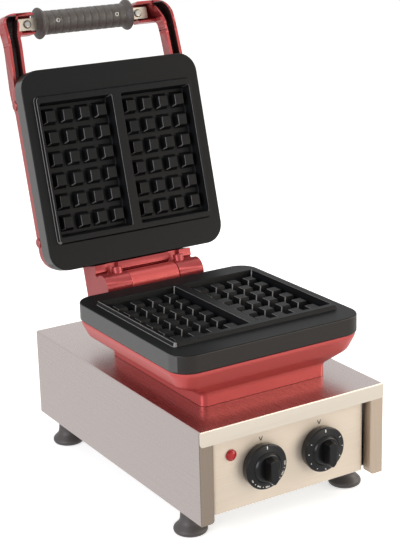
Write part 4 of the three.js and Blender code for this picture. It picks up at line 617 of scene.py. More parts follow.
# Painted highlight on the sharp edges that face the light from the left, which show as fine pale lines.
EDGE_PAINTED_HIGHLIGHT = Finish("worn_coating_edge", "#74726f", 0.4)
# Moulded phenolic dials: black, with a soft gloss.
BLACK_PHENOLIC = Finish(
    "black_phenolic_moulding", "#0c0b0c", 0.3, ior=1.33, coat=0.06, coat_roughness=0.15)
# Moulded grip: brown black, dulled by handling.
GRIP_PHENOLIC = Grained(
    "grip_phenolic_moulding", "#4a4440", 0.5,
    other="#3d3834", pitch=(3.0, 3.0, 3.0), rough_low=0.42, rough_high=0.56, bump=0.06)
# Moulded rubber feet: a matte dark grey that takes a soft light on the flare.
FOOT_RUBBER = Finish("black_foot_moulding", "#464140", 0.5)
# Moulded nylon of the cable gland: dark, with a dull gloss.
GLAND_NYLON = Finish("black_gland_nylon", "#262626", 0.45)
# Pad printed figures and dots on the dials: flat white.
WHITE_PRINT = Finish("white_dial_print", "#e9e7e2", 0.5)
# Screen printed index marks on the panel: flat dark grey.
DARK_PRINT = Finish("dark_panel_print", "#3c3a38", 0.5)
# Moulded polycarbonate of the pilot lamp: deep red, with a sharp highlight.
RED_LENS = Finish("red_polycarbonate_lens", "#a80b10", 0.16, ior=1.45, coat=0.2)
# Stainless sheath of the elements, darkened by heat: a dull grey metal.
SHEATH = Finish("heat_darkened_sheath", "#6d6a66", 0.45, metallic=0.9)
# Fired ceramic of the terminal block: pale and matte.
CERAMIC = Finish("pale_ceramic_moulding", "#d8d2c4", 0.6)
# Turned brass of the earth stud: a warm yellow with soft highlights.
BRASS = Finish("plain_brass", "#b08d4a", 0.35, metallic=1.0)


def dressed(item: bpy.types.Object, finish: Finish, smooth: float = 32) -> bpy.types.Object:
    """Gives a mesh one finish.

    Wide faces set the normals of the narrow rounds beside them, so flats stay flat.

    Args:
        item: The mesh.
        finish: Its finish.
        smooth: The turn in degrees from which an edge stays sharp.

    Returns:
        The dressed mesh.
    """
    item.data.materials.clear()
    item.data.materials.append(finish.dress())
    for face in item.data.polygons:
        face.use_smooth = True
        face.material_index = 0
    item.data.set_sharp_from_angle(angle=math.radians(smooth))
    weigh = item.modifiers.new("normals", "WEIGHTED_NORMAL")
    weigh.keep_sharp = True
    return settled(item)


def fit(
    item: bpy.types.Object, name: str, body: Body, stands_for: Sequence[str] = (),
) -> bpy.types.Object:
    """Names a finished drawing mesh, puts it in the frame and lets it ride on its body.

    Args:
        item: The mesh on the drawing.
        name: The piece's name.
        body: The body that carries it.
        stands_for: The solids that it replaces.

    Returns:
        The piece.
    """
    moved(item, LID_TO_FRAME if body is Body.LID else TO_FRAME)
    item.name = name
    item.data.name = name
    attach(item, body.value)
    if stands_for:
        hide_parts(*stands_for)
    log.info("%s: %d faces on %s", name, len(item.data.polygons), body.value)
    return item


# Geometry node trees


def new_tree(
    name: str, **inputs: str
) -> tuple[bpy.types.NodeTree, bpy.types.Node, dict[str, str]]:
    """Starts a geometry node tree that repeats an item.

    Args:
        name: The tree's name.
        inputs: Kind of number for each input beside the item and its material.

    Returns:
        The tree, its input node and the identifiers of its inputs by name.
    """
    tree = bpy.data.node_groups.new(name, "GeometryNodeTree")
    tree.interface.new_socket("Geometry", in_out="INPUT", socket_type="NodeSocketGeometry")
    names = {}
    for label, kind in {"Item": "Object", **inputs, "Material": "Material"}.items():
        socket = tree.interface.new_socket(
            label, in_out="INPUT", socket_type=f"NodeSocket{kind}")
        names[label] = socket.identifier
    tree.interface.new_socket("Geometry", in_out="OUTPUT", socket_type="NodeSocketGeometry")
    return tree, tree.nodes.new("NodeGroupInput"), names


def close_tree(
    tree: bpy.types.NodeTree, given: bpy.types.Node, points: bpy.types.NodeSocket,
    turn: bpy.types.NodeSocket | None = None,
) -> None:
    """Ends a tree: the item on each point, made real, with its material.

    Args:
        tree: The tree.
        given: Its input node.
        points: The points that the copies stand on.
        turn: The turn of each copy, where they aren't all the same way up.
    """
    item = add_node(tree, "GeometryNodeObjectInfo", {}, {"Object": given.outputs["Item"]})
    spread = add_node(tree, "GeometryNodeInstanceOnPoints", {},
                      {"Points": points, "Instance": item.outputs["Geometry"]})
    if turn:
        tree.links.new(turn, spread.inputs["Rotation"])
    real = add_node(tree, "GeometryNodeRealizeInstances", {},
                    {"Geometry": spread.outputs["Instances"]})
    paint = add_node(tree, "GeometryNodeSetMaterial", {},
                     {"Geometry": real.outputs["Geometry"], "Material": given.outputs["Material"]})
    add_node(tree, "NodeGroupOutput", {}, {"Geometry": paint.outputs["Geometry"]})


@cache
def grid_tree() -> tuple[bpy.types.NodeTree, dict[str, str]]:
    """Returns a tree that repeats an item in columns and rows about the origin."""
    tree, given, names = new_tree(
        "item_grid", Columns="Int", Rows="Int", ColumnPitch="Float", RowPitch="Float")
    lengths = []
    for count, pitch in (("Columns", "ColumnPitch"), ("Rows", "RowPitch")):
        gaps = add_node(tree, "ShaderNodeMath", {"operation": "SUBTRACT", 1: 1.0},
                        {0: given.outputs[count]})
        length = add_node(tree, "ShaderNodeMath", {"operation": "MULTIPLY"},
                          {0: gaps.outputs[0], 1: given.outputs[pitch]})
        lengths.append(length.outputs[0])
    grid = add_node(tree, "GeometryNodeMeshGrid", {},
                    {"Size X": lengths[0], "Size Y": lengths[1],
                     "Vertices X": given.outputs["Columns"], "Vertices Y": given.outputs["Rows"]})
    close_tree(tree, given, grid.outputs["Mesh"])
    return tree, names


@cache
def arc_tree() -> tuple[bpy.types.NodeTree, dict[str, str]]:
    """Returns a tree that repeats an item round part of a circle, turned with it."""
    tree, given, names = new_tree(
        "item_arc", Count="Int", Radius="Float", Start="Float", Step="Float")
    index = add_node(tree, "GeometryNodeInputIndex")
    travel = add_node(tree, "ShaderNodeMath", {"operation": "MULTIPLY"},
                      {0: index.outputs[0], 1: given.outputs["Step"]})
    angle = add_node(tree, "ShaderNodeMath", {"operation": "ADD"},
                     {0: travel.outputs[0], 1: given.outputs["Start"]})
    sides = []
    for way in ("COSINE", "SINE"):
        share = add_node(tree, "ShaderNodeMath", {"operation": way}, {0: angle.outputs[0]})
        side = add_node(tree, "ShaderNodeMath", {"operation": "MULTIPLY"},
                        {0: share.outputs[0], 1: given.outputs["Radius"]})
        sides.append(side.outputs[0])
    place = add_node(tree, "ShaderNodeCombineXYZ", {}, {"X": sides[0], "Y": sides[1]})
    points = add_node(tree, "GeometryNodePoints", {},
                      {"Count": given.outputs["Count"], "Position": place.outputs[0]})
    turn = add_node(tree, "ShaderNodeCombineXYZ", {}, {"Z": angle.outputs[0]})
    close_tree(tree, given, points.outputs[0], turn.outputs[0])
    return tree, names


@cache
def radial_tree() -> tuple[bpy.types.NodeTree, dict[str, str]]:
    """Returns a tree that turns an item about the y axis again and again."""
    tree, given, names = new_tree("item_round_y", Count="Int", Step="Float")
    index = add_node(tree, "GeometryNodeInputIndex")
    angle = add_node(tree, "ShaderNodeMath", {"operation": "MULTIPLY"},
                     {0: index.outputs[0], 1: given.outputs["Step"]})
    points = add_node(tree, "GeometryNodePoints", {}, {"Count": given.outputs["Count"]})
    turn = add_node(tree, "ShaderNodeCombineXYZ", {}, {"Y": angle.outputs[0]})
    close_tree(tree, given, points.outputs[0], turn.outputs[0])
    return tree, names


def repeated(
    item: bpy.types.Object, made: tuple[bpy.types.NodeTree, dict[str, str]], values: dict,
    finish: Finish,
) -> bpy.types.Object:
    """Repeats an item by a node tree and uses it up.

    Args:
        item: The mesh to repeat, drawn about the origin.
        made: The tree and its inputs' identifiers by name.
        values: A value for each of the tree's other inputs, by name.
        finish: The finish of the repeated item.

    Returns:
        A plain mesh object with all the copies.
    """
    tree, names = made
    host = placed("repeated", bpy.data.meshes.new("host"))
    step = host.modifiers.new("repeat", "NODES")
    step.node_group = tree
    for label, value in {**values, "Item": item, "Material": finish.dress()}.items():
        step[names[label]] = value
    settled(host)
    bpy.data.objects.remove(item)
    return host


# Housing


@dataclass
class Housing:
    """The folded steel housing with its panels, fittings and feet."""

    half: float = 125.0
    depth: float = 400.0
    ground: float = 30.0
    top: float = 142.0
    sheet: float = 1.2
    fold: float = 2.5
    lip: float = 18.0
    lip_corner: float = 4.0
    flange: float = 17.5
    flange_corner: float = 5.0
    back_fold: float = 13.0
    panel_set: float = 10.0
    panel_half: float = 104.0
    panel_fold: float = 5.5
    panel_wing: float = 24.0
    panel_low: float = 34.5
    tray_front: float = 26.0
    tray_lip: float = 94.0
    tray_top: float = 44.2
    hole_radius: float = 5.6
    knob_x: float = 40.0
    knob_z: float = 80.5
    lamp_x: float = -79.8
    lamp_z: float = 101.2
    mark_z: float = 110.8
    foot_x: float = 108.8
    foot_places: tuple[float, float] = (52.0, 355.0)
    foot_nut: float = 4.6
    foot_bore: float = 2.8
    lip_seam: float = 1.6
    gland_x: float = -72.0
    gland_z: float = 66.0
    gland_radius: float = 10.0
    earth_x: float = 88.0
    earth_z: float = 52.0
    earth_hole: float = 3.3
    earth_nut: float = 5.8
    lamp_hole: float = 5.0
    vent_x: float = 48.0
    vent_z: float = 98.0

    def sheet_path(self, outer: Sequence[Point], radius: float) -> list[tuple[float, float]]:
        """Returns the closed section of a sheet folded along an open path.

        Args:
            outer: Corners of the sheet's outer face, which lies on the left of the path.
            radius: The outer radius of its folds.

        Returns:
            The outer face's points, then the inner face's points on the way back.
        """
        path = [Vector(p) for p in outer]
        inner = []
        for i, point in enumerate(path):
            ways = []
            if i > 0:
                ways.append((point - path[i - 1]).normalized())
            if i + 1 < len(path):
                ways.append((path[i + 1] - point).normalized())
            shift = Vector((0.0, 0.0))
            for way in ways:
                shift += Vector((way.y, -way.x)) * self.sheet
            straight = len(ways) == 2 and ways[0] == ways[1]
            inner.append(point + shift / 2 if straight else point + shift)
        near = eased([tuple(p) for p in path], radius, 6)
        far = eased([tuple(p) for p in inner], max(radius - self.sheet, 0.2), 6)
        return near + far[::-1]

    def cover(self) -> None:
        """Builds the top and the sides, folded from one sheet."""
        path = [(-self.half, self.ground), (-self.half, self.top), (self.half, self.top),
                (self.half, self.ground)]
        cover = run_along(self.sheet_path(path, self.fold), self.lip_seam, self.depth, Axis.Y)
        cover = softened(cover, 0.25, 2, 50)
        fit(dressed(cover, STEEL_ALONG), "housing_cover", Body.BASE, ["housing_shell"])

    def lip_over_panel(self) -> None:
        """Builds the lip over the panel, with its corners rounded as the cover's are."""
        edge = self.lip_seam
        drop = self.top - self.lip
        profile = [(edge, self.top), (0, self.top), (0, drop)]
        folded = self.sheet_path(profile[::-1], 1.6)
        lip = run_along(folded, -self.half, self.half, Axis.X)
        outline = rounded(-self.half, self.half, drop, self.top + self.fold, self.lip_corner)
        crown = rounded(-self.half, self.half, drop - self.lip, self.top, self.fold)
        shape = run_along(outline, -1, 2 * edge, Axis.Y)
        carved(shape, "INTERSECT", [run_along(crown, -2, 3 * edge, Axis.Y)])
        carved(lip, "INTERSECT", [shape])
        fit(dressed(deburred(lip), STEEL_ACROSS_PAINTED_LIGHT), "housing_lip", Body.BASE,
            ["housing_shell"])

    def flanges(self) -> None:
        """Builds the flanges beside the panel, each with its return."""
        inner = self.half - self.flange
        path = [(self.half, self.sheet), (inner, self.sheet), (inner, self.sheet + self.back_fold)]
        section = self.sheet_path(path, 1.8)
        right = run_along(section, self.ground, self.top - self.sheet, Axis.Z)
        outline = rounded(inner, self.half + self.flange, self.ground, self.top + self.flange,
                          self.flange_corner)
        carved(right, "INTERSECT", [run_along(outline, 0, 2 * self.back_fold, Axis.Y)])
        deburred(right)
        left = mirrored(right)
        # Each flange gets its own painted reflection: brown on the left, paler on the right.
        for item, side, finish in (
            (left, "left", FLANGE_PAINTED_DARK_REFLECTION), (right, "right", FLANGE_PAINTED_PALE_REFLECTION)
        ):
            fit(dressed(item, finish), f"housing_flange_{side}", Body.BASE, ["housing_shell"])

    def panel(self) -> None:
        """Builds the control panel and its printed index marks."""
        wing = self.panel_set + self.panel_wing
        path = [(-self.panel_half, wing), (-self.panel_half, self.panel_set),
                (self.panel_half, self.panel_set), (self.panel_half, wing)]
        section = self.sheet_path(path[::-1], self.panel_fold)
        panel = run_along(section, self.panel_low, self.top - self.sheet - SEAT_GAP, Axis.Z)
        holes = [
            rod(radius, self.panel_set - 5, self.panel_set + 5, Axis.Y, (x, 0, z))
            for radius, x, z in ((self.hole_radius, -self.knob_x, self.knob_z),
                                 (self.hole_radius, self.knob_x, self.knob_z),
                                 (self.lamp_hole, self.lamp_x, self.lamp_z))
        ]
        carved(panel, "DIFFERENCE", holes)
        fit(dressed(deburred(panel), STEEL_PANEL_PAINTED_LIGHT), "control_panel_sheet", Body.BASE,
            ["control_panel"])
        marks = []
        for x in (-self.knob_x, self.knob_x):
            for side in (-1, 1):
                stroke = [(0.7, -2.6), (2.8, 2.6), (1.6, 2.6), (-0.1, -1.4), (-0.1, -2.6)]
                points = [(x + side * u, self.mark_z + v) for u, v in stroke]
                marks.append(
                    run_along(points, self.panel_set - 0.06, self.panel_set + 0.1, Axis.Y))
        fit(dressed(joined("marks", marks), DARK_PRINT), "panel_index_marks", Body.BASE)

    def back(self) -> None:
        """Builds the rear panel with its vents."""
        half = self.half - self.sheet - SEAT_GAP
        low, high = self.ground + self.sheet + SEAT_GAP, self.top - self.sheet - SEAT_GAP
        face = self.depth - self.sheet
        shell = Shell()
        turn = 10.0
        front = face - self.sheet - turn
        outer = [[(x, y, z) for x, z in rounded(-half, half, low, high, 1.2, 3)]
                 for y in (front, face)]
        inner = [[(x, y, z) for x, z in rounded(-half + self.sheet, half - self.sheet,
                                                low + self.sheet, high - self.sheet, 0.6, 3)]
                 for y in (front, face - self.sheet)]
        outer_front, outer_back = shell.walls(outer)
        inner_front, inner_back = shell.walls(inner)
        shell.skin(outer_front, inner_front)
        shell.cap(outer_back)
        shell.cap(inner_back)
        panel = shell.made("rear")
        slot = run_along(rounded(-2, 2, -19, 19, 1.95, 6), face - 8, face + 4, Axis.Y)
        pattern = repeated(slot, grid_tree(),
                           {"Columns": 7, "Rows": 1, "ColumnPitch": 11.0, "RowPitch": 0.0}, ZINC)
        moved(pattern, Matrix.Translation((self.vent_x, 0, self.vent_z)))
        holes = [pattern, rod(10.3, face - 6, face + 6, Axis.Y, (self.gland_x, 0, self.gland_z)),
                 rod(self.earth_hole, face - 6, face + 6, Axis.Y, (self.earth_x, 0, self.earth_z))]
        carved(panel, "DIFFERENCE", holes)
        fit(dressed(deburred(panel), STEEL_ACROSS_PAINTED_LIGHT), "rear_panel_sheet", Body.BASE,
            ["rear_panel"])

    def gland(self) -> None:
        """Builds the cable gland on the rear panel."""
        face = self.depth - self.sheet + SEAT_GAP
        nose = face + 24
        tail = face - SEAT_GAP - self.sheet - 9
        centre = (self.gland_x, 0, self.gland_z)
        stem = self.gland_radius
        profile = eased([(4.6, tail), (stem, tail), (stem, face), (11.5, face), (11.5, nose - 7),
                         (8.2, nose), (4.6, nose)], [0, 0.4, 0, 0, 2.5, 1.5, 0], 4)
        body = turned(profile, Axis.Y, 48, centre)
        collar = turned([(stem, face), (13.5, face), (13.5, face + 8), (stem, face + 8)], Axis.Y,
                        6, centre)
        softened(collar, 0.6, 2, 30)
        ribs = repeated(
            rod(0.5, nose - 15, nose - 7.5, Axis.Y, (11.4, 0, 0), 8), radial_tree(),
            {"Count": 24, "Step": math.tau / 24}, GLAND_NYLON)
        moved(ribs, Matrix.Translation(centre))
        whole = joined("gland", [body, collar, ribs])
        fit(dressed(whole, GLAND_NYLON), "gland_moulding", Body.BASE, ["cable_gland"])

    def earth_stud(self) -> None:
        """Builds the earth stud with a nut on each side of the rear panel."""
        face = self.depth - self.sheet + SEAT_GAP
        inner = face - 2 * SEAT_GAP - self.sheet
        centre = (self.earth_x, 0, self.earth_z)
        stem = rod(3, face - 7, face + 14, Axis.Y, centre, 24, 0.5)
        nuts = [softened(rod(self.earth_nut, start, start + 5, Axis.Y, centre, 6), 0.4, 2, 30)
                for start in (face, inner - 5)]
        fit(dressed(joined("earth", [stem, *nuts]), BRASS), "earth_stud_brass", Body.BASE,
            ["earth_stud"])

    def tray(self) -> None:
        """Builds the bottom plate, set back so that it is hidden behind the panel."""
        low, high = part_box("bottom_plate")
        half, back, floor = high.x / MM, (high.y - FRONT) / MM, low.z / MM
        inside = floor + self.sheet
        pieces = [
            block(-half, half, self.tray_front, back, floor, inside),
            block(-self.tray_lip, self.tray_lip, self.tray_front, self.tray_front + self.sheet,
                  floor, self.tray_top),
        ]
        for side in (-1, 1):
            ends = sorted((side * half, side * (half - self.sheet)))
            pieces.append(block(*ends, self.back_fold + 6, back - 16, floor, self.tray_top))
            for y in self.foot_places:
                pieces.append(
                    rod(self.foot_nut, floor, inside + 4, Axis.Z, (side * self.foot_x, y, 0)))
        tray = carved(pieces[0], "UNION", pieces[1:])
        slots = repeated(
            run_along(rounded(-35, 35, -2, 2, 1.95, 6), floor - 4, inside + 4, Axis.Z),
            grid_tree(), {"Columns": 1, "Rows": 6, "ColumnPitch": 0.0, "RowPitch": 12.0}, ZINC)
        moved(slots, Matrix.Translation((0, PLATE_MIDDLE, 0)))
        bores = [rod(self.foot_bore, floor - 4, inside + 8, Axis.Z, (side * self.foot_x, y, 0), 24)
                 for side in (-1, 1) for y in self.foot_places]
        carved(tray, "DIFFERENCE", [slots, *bores])
        fit(dressed(tray, ZINC), "bottom_tray_sheet", Body.BASE, ["bottom_plate"])

    def feet(self) -> None:
        """Builds the four trumpet feet."""
        profile = eased(
            [(6.5, 0), (17.8, 0), (19.8, 2.2), (19.8, 5.6), (16.4, 9.2), (12.8, 13.0), (11.7, 19),
             (11.4, 27.4), (11.2, 29.7), (self.foot_bore, 29.7), (self.foot_bore, 12), (6.5, 12)],
            [0, 1.2, 1.4, 1.7, 2.4, 2.6, 3.0, 1, 0.4, 0, 0, 0], 5)
        for y, row in zip(self.foot_places, ("front", "rear")):
            for side, hand in ((-1, "left"), (1, "right")):
                foot = turned(profile, Axis.Z, 64, (side * self.foot_x, y, 0))
                fit(dressed(foot, FOOT_RUBBER), f"foot_moulding_{row}_{hand}", Body.BASE,
                    [f"foot_{row}_{hand}"])

    def lamp(self) -> None:
        """Builds the pilot lamp's domed lens."""
        seat = self.panel_set - SEAT_GAP
        centre = (self.lamp_x, 0, self.lamp_z)
        profile = eased([(0, seat - 4), (2.6, seat - 3.9), (5.4, seat - 2.4), (5.7, seat - 1.3),
                         (6.7, seat - 1.3), (6.8, seat - 0.2), (6.8, seat), (4.7, seat),
                         (4.7, seat + 4), (0, seat + 4)],
                        [0, 1.2, 0.8, 0.1, 0.4, 0.2, 0, 0, 0, 0], 5)
        lens = turned(profile, Axis.Y, 48, centre)
        fit(dressed(lens, RED_LENS), "pilot_lamp_lens", Body.BASE, ["lamp_lens"])

    def build(self) -> None:
        """Builds every piece of the housing."""
        self.cover()
        self.lip_over_panel()
        self.flanges()
        self.panel()
        self.back()
        self.gland()
        self.earth_stud()
        self.tray()
        self.feet()
        self.lamp()


# Dials


@dataclass
class Dial:
    """One control dial, drawn about its shaft with its face towards +z."""

    name: str
    body: Body
    x: float
    figures: tuple[str, ...]
    first: float
    step: float
    base_radius: float = 25.4
    skirt_radius: float = 27.0
    skirt: float = 10.6
    hub_radius: float = 15.5
    hub: float = 15.6
    height: float = 27.0
    bar_half: float = 5.5
    bar_top: float = 13.5
    bar_tip: float = 17.5
    figure_size: float = 3.7
    figure_radius: float = 22.6
    gap: float = 1.0

    def to_panel(self, housing: Housing) -> Matrix:
        """Returns the matrix from the dial's own drawing to the housing's."""
        place = Matrix.Translation((self.x, housing.panel_set - self.gap, housing.knob_z))
        return place @ Matrix.Rotation(math.pi / 2, 4, "X")

    def skirt_body(self) -> bpy.types.Object:
        """Returns the turned skirt with its hollow back."""
        profile = eased(
            [(0, 8), (7.5, 8), (7.5, 0.4), (21.5, 0.4), (21.5, 0), (self.base_radius, 0),
             (self.skirt_radius, self.skirt - 0.4), (self.skirt_radius - 1.2, self.skirt + 0.5),
             (18.2, self.skirt + 2.4), (17.4, self.skirt + 1.8), (self.hub_radius, self.hub),
             (0, self.hub + 0.2)],
            [0, 0, 0, 0, 0, 0.6, 1.0, 0.6, 0.5, 0.6, 1.6, 0], 5)
        return turned(profile, Axis.Z, 96)

    def bar(self) -> bpy.types.Object:
        """Returns the finger bar, narrower at its crest, with a pointed toe."""
        def outline(half: float, top: float, toe: float, z: float) -> list[Vector]:
            """Returns the bar's outline at one height."""
            corners = [(half, top - 2), (half * 0.7, top), (-half * 0.7, top), (-half, top - 2),
                       (-half, half * 0.9 - toe), (0, -toe), (half, half * 0.9 - toe)]
            return [Vector((u, v, z)) for u, v in eased(corners, 2.2, 3, closed=True)]

        levels = [
            (self.bar_half + 0.5, self.bar_top + 0.6, self.bar_tip + 0.4, self.skirt),
            (self.bar_half, self.bar_top, self.bar_tip, self.hub + 2),
            (self.bar_half - 0.3, self.bar_top - 0.6, self.bar_tip - 0.5, self.height - 1.4),
            (self.bar_half - 0.7, self.bar_top - 1.1, self.bar_tip - 1.0, self.height - 0.3),
            (self.bar_half - 1.5, self.bar_top - 2.0, self.bar_tip - 2.0, self.height),
        ]
        return Shell().solid([outline(*sizes) for sizes in levels]).made("bar")

    def print_of(self, text: str, angle: float) -> bpy.types.Object:
        """Draws one printed figure on the ring.

        Args:
            text: The number.
            angle: Its place, anticlockwise from the top.

        Returns:
            The figure's mesh, on the dial's own drawing.
        """
        curve = bpy.data.curves.new("figure", "FONT")
        curve.body = text
        curve.size = self.figure_size
        curve.align_x = "CENTER"
        curve.align_y = "CENTER"
        curve.extrude = 0.12
        curve.offset = 0.08
        curve.resolution_u = 3
        lettering = placed("figure", curve)
        bpy.context.view_layer.update()
        shapes = bpy.context.evaluated_depsgraph_get()
        mesh = bpy.data.meshes.new_from_object(lettering.evaluated_get(shapes))
        bpy.data.objects.remove(lettering)
        figure = placed("figure", mesh)
        place = Matrix.Rotation(angle, 4, "Z") @ Matrix.Translation(
            (0, self.figure_radius, self.skirt + 1.35)) @ Matrix.Rotation(math.radians(14), 4, "X")
        return moved(figure, place)

    def ticks(self, count: int, start: float, step: float) -> bpy.types.Object:
        """Returns printed dots on the ring between two figures; angles as for a figure."""
        tick = rod(0.55, self.skirt + 1.0, self.skirt + 1.5, Axis.Z, (0, 0, 0), 16)
        return repeated(tick, arc_tree(),
                        {"Count": count, "Radius": self.figure_radius + 0.6,
                         "Start": start + math.pi / 2, "Step": step}, WHITE_PRINT)

    def build(self, housing: Housing) -> None:
        """Builds the dial, its print and its shaft."""
        place = self.to_panel(housing)
        whole = moved(joined(self.name, [self.skirt_body(), self.bar()]), place)
        fit(dressed(whole, BLACK_PHENOLIC), f"{self.name}_dial_moulding", self.body,
            [f"{self.name}_knob"])
        zero = block(-0.55, 0.55, self.figure_radius - 2.6, self.figure_radius + 2.6,
                     self.skirt + 0.9, self.skirt + 1.5)
        figures = [
            self.print_of(text, self.first + i * self.step) for i, text in enumerate(self.figures)
        ]
        ticks = self.ticks(len(self.figures) - 1, self.first + self.step / 2, self.step)
        marks = moved(joined("print", [zero, ticks, *figures]), place)
        fit(dressed(marks, WHITE_PRINT), f"{self.name}_dial_print", self.body)


# Castings


@dataclass
class WafflePlate:
    """One waffle plate, drawn about its middle with its face at z = 0."""

    half: float = 126.4
    half_depth: float = 125.4
    thickness: float = 22.0
    corner: float = 25.0
    pad_half: float = 112.5
    pad_front: float = -92.8
    pad_back: float = 92.2
    pad_height: float = 5.0
    pad_corner: float = 6.0
    rib_half: float = 6.5
    cavity_width: float = 101.3
    cavity_front: float = -83.8
    cavity_length: float = 167.5
    cavity_depth: float = 15.0
    draft: float = 2.5
    columns: int = 4
    rows: int = 6
    peg_width: float = 17.0
    peg_length: float = 18.4
    wall_gap_x: float = 6.4
    wall_gap_y: float = 8.0
    peg_draft: float = 2.4
    peg_sink: float = 4.6

    def cavity(self, shell: Shell, side: int) -> list:
        """Adds one open cavity to the casting.

        Args:
            shell: The casting's surface.
            side: -1 for the left cavity and 1 for the right one.

        Returns:
            The loop of vertices round the cavity's mouth.
        """
        middle = side * (self.rib_half + self.cavity_width / 2)
        floor = self.pad_height - self.cavity_depth
        profile = eased([(0.9, self.pad_height), (0.0, self.pad_height), (-self.draft, floor),
                         (-self.draft - 2.6, floor)], [0, 0.7, 2.0, 0], 4)
        loops = []
        for reach, z in profile:
            half_x = self.cavity_width / 2 + reach
            front = self.cavity_front - reach
            back = self.cavity_front + self.cavity_length + reach
            corner = max(2.2 + reach * 0.4, 0.5)
            loops.append([(middle + x, y, z)
                          for x, y in rounded(-half_x, half_x, front, back, corner, 4)])
        mouth, bottom = shell.walls(loops)
        shell.cap(bottom)
        return mouth

    def casting(self) -> bpy.types.Object:
        """Returns the slab with its raised pad and the two open cavities."""
        side = [(self.half - 1.2, -self.thickness), (self.half, -self.thickness + 1.2),
                (self.half, -1.0), (self.half - 1.0, 0.0)]
        rings = []
        for reach, z in eased(side, [0, 0.8, 0.9, 0.6], 4):
            inset = self.half - reach
            rings.append(level(reach, inset - self.half_depth, self.half_depth - inset,
                               self.corner - inset, z))
        rise = eased([(3.0, 0.0), (0.0, 0.0), (-1.5, self.pad_height), (-4.0, self.pad_height)],
                     [0, 0.6, 0.6, 0], 3)
        for reach, z in rise:
            rings.append(level(self.pad_half + reach, self.pad_front - reach,
                               self.pad_back + reach, self.pad_corner + reach, z))
        shell = Shell()
        low, high = shell.walls(rings)
        shell.cap(low)
        shell.face_with_holes(high, [self.cavity(shell, hand) for hand in (-1, 1)])
        return shell.made("slab")

    def peg(self) -> bpy.types.Object:
        """Returns one tapered peg that stands at the origin."""
        floor = self.pad_height - self.cavity_depth
        top = self.pad_height - self.peg_sink
        profile = eased([(1.6, floor - 0.4), (0.0, floor + 1.2), (-self.peg_draft, top - 0.1),
                         (-self.peg_draft - 0.9, top)], [0, 1.2, 0.5, 0], 3)
        loops = []
        for reach, z in profile:
            x, y = self.peg_width / 2 + reach, self.peg_length / 2 + reach
            loops.append([(u, v, z) for u, v in rounded(-x, x, -y, y, 1.0, 2)])
        return Shell().solid(loops).made("peg")

    def shows_painted_highlight(self, face: bpy.types.MeshPolygon, facing: Vector) -> bool:
        """Tells whether a face is one of the narrow edges that get the painted highlight.

        Args:
            face: A face of the drawn plate.
            facing: Its normal in the frame.

        Returns:
            True for rounds along upper edges that face left, and upright ones at the left front.
        """
        at_left_front = facing.x < -0.35 and facing.y < -0.35
        is_inside_cavity = face.center.z < -1.2
        is_upper_round = 0.3 < face.normal.z < 0.95
        if is_inside_cavity:
            return at_left_front and face.center.z > -7
        return facing.x < -0.3 if is_upper_round else at_left_front

    def build(self, name: str, body: Body, place: Matrix) -> None:
        """Builds the plate with its pegs and lets it stand for the solid.

        Args:
            name: The solid's name.
            body: The body that carries the plate.
            place: From the plate's own drawing to the whole one.
        """
        pitch_x = (self.cavity_width - 2 * self.wall_gap_x - self.peg_width) / (self.columns - 1)
        pitch_y = (self.cavity_length - 2 * self.wall_gap_y - self.peg_length) / (self.rows - 1)
        items = [self.casting()]
        for side in (-1, 1):
            field_of_pegs = repeated(
                self.peg(), grid_tree(),
                {"Columns": self.columns, "Rows": self.rows,
                 "ColumnPitch": pitch_x, "RowPitch": pitch_y}, COATED_IRON)
            middle = (side * (self.rib_half + self.cavity_width / 2),
                      self.cavity_front + self.cavity_length / 2, 0)
            items.append(moved(field_of_pegs, Matrix.Translation(middle)))
        plate = dressed(joined(name, items), COATED_IRON, 40)
        # Slots for the painted light on left-facing sides, the painted edge highlights and the painted shade on
        # the other sides.
        ground, edge_highlight, shaded_side = 1, 2, 3
        for finish in (IRON_SIDE_PAINTED_LIGHT, EDGE_PAINTED_HIGHLIGHT, IRON_SIDE_PAINTED_SHADE):
            plate.data.materials.append(finish.dress())
        turn = ((LID_TO_FRAME if body is Body.LID else TO_FRAME) @ place).to_3x3()
        for face in plate.data.polygons:
            outside = (abs(face.center.x) > self.pad_half + 5
                       or abs(face.center.y) > self.pad_back + 5)
            facing = (turn @ face.normal).normalized()
            if outside and abs(face.normal.z) < 0.5:
                face.material_index = ground if facing.x < -0.88 else shaded_side
            # Edges that face the light from the left get the painted highlight.
            elif not outside and self.shows_painted_highlight(face, facing):
                face.material_index = edge_highlight
        fit(moved(plate, place), f"{name}_casting", body, [name])


